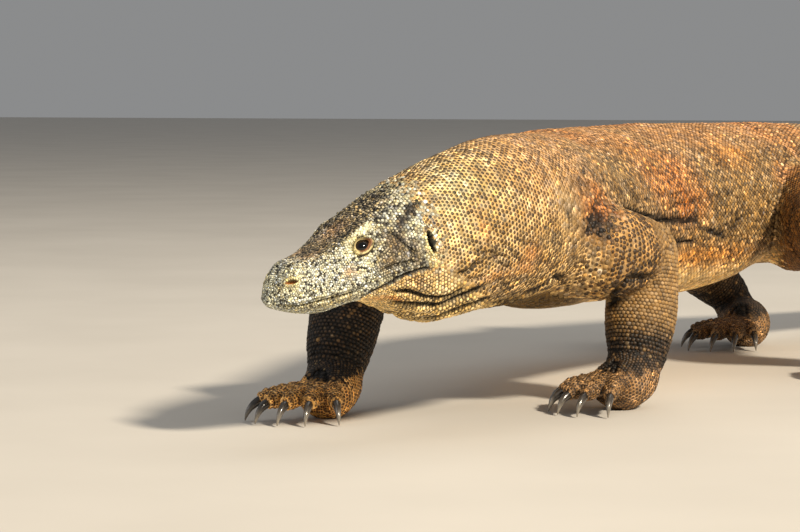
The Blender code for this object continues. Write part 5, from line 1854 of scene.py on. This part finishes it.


# painted shade in the margin and in the crease above the opening; below and behind it brown flesh,
# then a pale line, then grey-brown; t runs from the opening to the outer edge
def lidColours(lids, t, turn):
    middle, width = lidShape["crease"]
    crease = np.exp(-((t - middle) / width)**2) * ease(0.0, 0.4, np.sin(turn))
    grain = 0.5 + cellNoise(meshPoints(lids), lidShape["fleck"], 61).reshape(crease.shape)
    fleck = lidShape["fleckDark"] * ease(0.5, 0.9, grain) * ease(0.20, 0.40, t)
    # painted shade at the margin and in the crease, with the lids' own dark flecks
    dark = np.clip(1 - ease(-0.04, 0.10, t) + crease + fleck, 0, 1)
    low = ease(-0.4, 0.5, 0.8 * np.cos(turn) - np.sin(turn))
    widen = lidShape["widen"] * np.maximum(np.cos(turn), 0)
    inner = (1 - ease(*lidShape["innerEnd"], t - widen)) * (0.25 + 0.75 * low)
    rear = ease(*lidShape["rearStart"], t - widen) * low
    shade = mixed(np.zeros((dark.size, 3)) + light(plain["lid"]), light(plain["innerLid"]), inner)
    shade = mixed(shade, light(plain["rearLid"]), rear)
    return mixed(shade, light(plain["pitShade"]), lidShape["dark"] * dark)


# a claw thins from root to tip as 1 - t^taper, over the toe's radius; its underside is flatter
clawShape = {
    "firstPitch": 15.0, "lastPitch": 80.0, "tipHeight": 0.0012, "slim": 0.82, "rings": 16, "corners": 16,
    "rootShare": 0.70, "rootInset": 0.002, "rootThick": 0.55, "tipThick": 0.05, "taper": 1.6,
    "underside": 0.18,
}


# the claw's arc: ahead R (sin p - sin p0), down R (cos p0 - cos p), with R = length / (p1 - p0)
def clawGrid(start, ahead, length, radius, clawLength):
    first, last = np.radians((clawShape["firstPitch"], clawShape["lastPitch"]))
    arc = clawLength / (last - first)
    up = np.array([0, 0, 1.0])
    root = (start + ahead * (clawShape["rootShare"] * length - clawShape["rootInset"])) * (1, 1, 0)
    root = root + up * (clawShape["tipHeight"] + arc * (np.cos(first) - np.cos(last)))
    t = np.linspace(0, 1, clawShape["rings"])[:, None]
    pitch = first + (last - first) * t
    centre = root + ahead * arc * (np.sin(pitch) - np.sin(first))
    centre = centre - up * arc * (np.cos(first) - np.cos(pitch))
    deep = up * np.cos(pitch) + ahead * np.sin(pitch)
    across = np.cross(ahead, up)
    size = radius * (clawShape["tipThick"] + (clawShape["rootThick"] - clawShape["tipThick"])
                     * (1 - t**clawShape["taper"]))
    a = roundTurn(clawShape["corners"])[None, :]
    upright = np.sin(a) * (1 - clawShape["underside"] * (np.sin(a) < 0))
    return (centre[:, None] + (size * clawShape["slim"] * np.cos(a))[..., None] * across
            + (size * upright)[..., None] * deep[:, None]), t


# five claws of a leg as one piece
def buildClaws(material):
    for name, leg in legs.items():
        build = legBuild[leg["kind"]]
        shells, shares = [], []
        for start, ahead, length in digitFrames(leg):
            grid, t = clawGrid(start, ahead, length, build["digitRadius"], build["clawLength"])
            shells.append(closedTube(np.clip(grid + stance, *solidBox)))
            shares.append(np.concatenate([np.repeat(t[:, 0], clawShape["corners"]), [0, 1]]))
        mesh = makeMesh(f"{name}_claws", *joinShells(shells))
        faceOut(mesh)
        mesh.shade_smooth()
        setValues(mesh, "alongClaw", np.concatenate(shares))
        claws = addPiece(f"{name}_claws", mesh, material)
        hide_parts(*[f"{name}_claw_{number}" for number in range(1, 6)])


# the animal

# tints of the bare skin: darker than the scales' rims; the mouth line's painted shade, its steps and width
bareSkin = {"shade": 0.7, "mouthFrom": 0.0004, "mouthBehind": 0.006, "mouthStep": 0.001, "mouthWide": 0.0019}


# the skin takes the rim colour of its nearest scale, and the mouth line and openings get painted shade
def paintSkin(skin, roots, rim):
    points = meshPoints(skin)
    index = nearestOf(roots["point"], points)[0]
    along = np.arange(bareSkin["mouthFrom"], headParts["mouthCorner"] + bareSkin["mouthBehind"],
                      bareSkin["mouthStep"])
    turns = np.array([lipAngle(at, 0.0) for at in along])
    mouth = [(bareSection(along, turn)[0], np.full(len(along), 1.0),
              bareSkin["mouthWide"]) for turn in (turns, np.pi - turns)]
    # painted shade in the openings and along the mouth line
    dark = np.maximum(inOpenings(points), creaseShape(points - stance, mouth)[0])
    hide = mixed(rim[index] * bareSkin["shade"], light(plain["pitShade"]), dark)
    hide = mixed(hide, light(plain["nostril"]), nostrilTan(points))
    setColours(skin, "hideColour", hide)
    skin.materials.clear()
    skin.materials.append(hideMaterial(*hides["skin"]))


def buildEyes():
    eyeFinish, lidFinish = rampedMaterial("eyeDark", eyeDark)[0], hideMaterial(*hides["lids"])
    for side, word in ((1, "left"), (-1, "right")):
        eye = addPiece(f"eyeball_{word}", eyeMesh(side), eyeFinish)
        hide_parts(f"eye_{word}")
        lids, t, turn = lidMesh(side)
        setColours(lids, "hideColour", lidColours(lids, t, turn))
        addPiece(f"lids_{word}", lids, lidFinish)


def buildAnimal():
    tubes = {name: legTubes(leg) for name, leg in legs.items()}
    skin, paths = wholeSkin(tubes)
    roots = proportion(plantRoots(skin, tubes))
    middle, rim, spot, mottle = markings(roots, paths)
    paintSkin(skin.data, roots, rim)
    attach(skin, "root")
    fleshNodes = [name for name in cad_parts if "claw" not in name and not name.startswith("eye")]
    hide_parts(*fleshNodes)
    # no scales over openings or in deep grooves
    sunk = creaseShape(roots["point"] - stance, paths, 0.55)[0]
    keep = (inOpenings(roots["point"]) < coatPlan["openingLimit"]) & (sunk < coatPlan["grooveLimit"])
    tones = [values[keep] for values in (middle, rim, spot, mottle)]
    buildCoat(picked(roots, keep), tones, hideMaterial(*hides["scales"], True))
    buildEyes()
    buildClaws(hornMaterial())


buildAnimal()
print("animal built")


# floor, light and camera

studio = {
    "floorHalf": 30.0,
    # place, aim, size, power, colour
    "keyLight": ((7.2, -3.8, 5.5), (0.0, -0.6, 0.1), 1.1, 1500.0, (1.0, 0.88, 0.70)),
    "fillLight": ((-3.4, -5.0, 2.6), (0.0, -0.4, 0.1), 3.0, 40.0, (0.94, 0.96, 1.0)),
    "topLight": ((0.3, 0.6, 3.4), (0.0, 0.0, 0.0), 3.0, 30.0, (1.0, 0.96, 0.88)),
    "sky": (0.86, 0.87, 0.88), "skyPower": 0.30,
    "cameraPlace": (1.191, -2.2165, 0.304), "cameraTurn": 30.0, "cameraTilt": 3.63, "lens": 119.25,
}


def buildStudio():
    half = studio["floorHalf"]
    corners = np.array([(-half, -half, 0), (half, -half, 0), (half, half, 0), (-half, half, 0)], float)
    floor = addObject("floor", makeMesh("floor", corners, [np.array([[0, 1, 2, 3]])]), floorMaterial())
    for name in ("keyLight", "fillLight", "topLight"):
        place, aim, size, power, colour = studio[name]
        lamp = bpy.data.lights.new(name, "AREA")
        lamp.shape = "DISK"
        lamp.size, lamp.energy, lamp.color = size, power, colour
        holder = addObject(name, lamp)
        holder.location = place
        holder.rotation_euler = (Vector(aim) - Vector(place)).to_track_quat("-Z", "Y").to_euler()
    scene = bpy.context.scene
    world = bpy.data.worlds.new("studioSky")
    scene.world = world
    world.use_nodes = True
    sky = world.node_tree.nodes["Background"]
    sky.inputs["Color"].default_value = (*studio["sky"], 1.0)
    sky.inputs["Strength"].default_value = studio["skyPower"]
    camera = addObject("camera", bpy.data.cameras.new("camera"))
    camera.location = Vector(studio["cameraPlace"]) + Vector(stance)
    camera.rotation_euler = np.radians((90 - studio["cameraTilt"], 0, studio["cameraTurn"]))
    camera.data.lens = studio["lens"]
    camera.data.clip_end = 100
    scene.camera = camera
    scene.view_settings.view_transform = "Standard"


buildStudio()
print("floor, lights and camera placed")
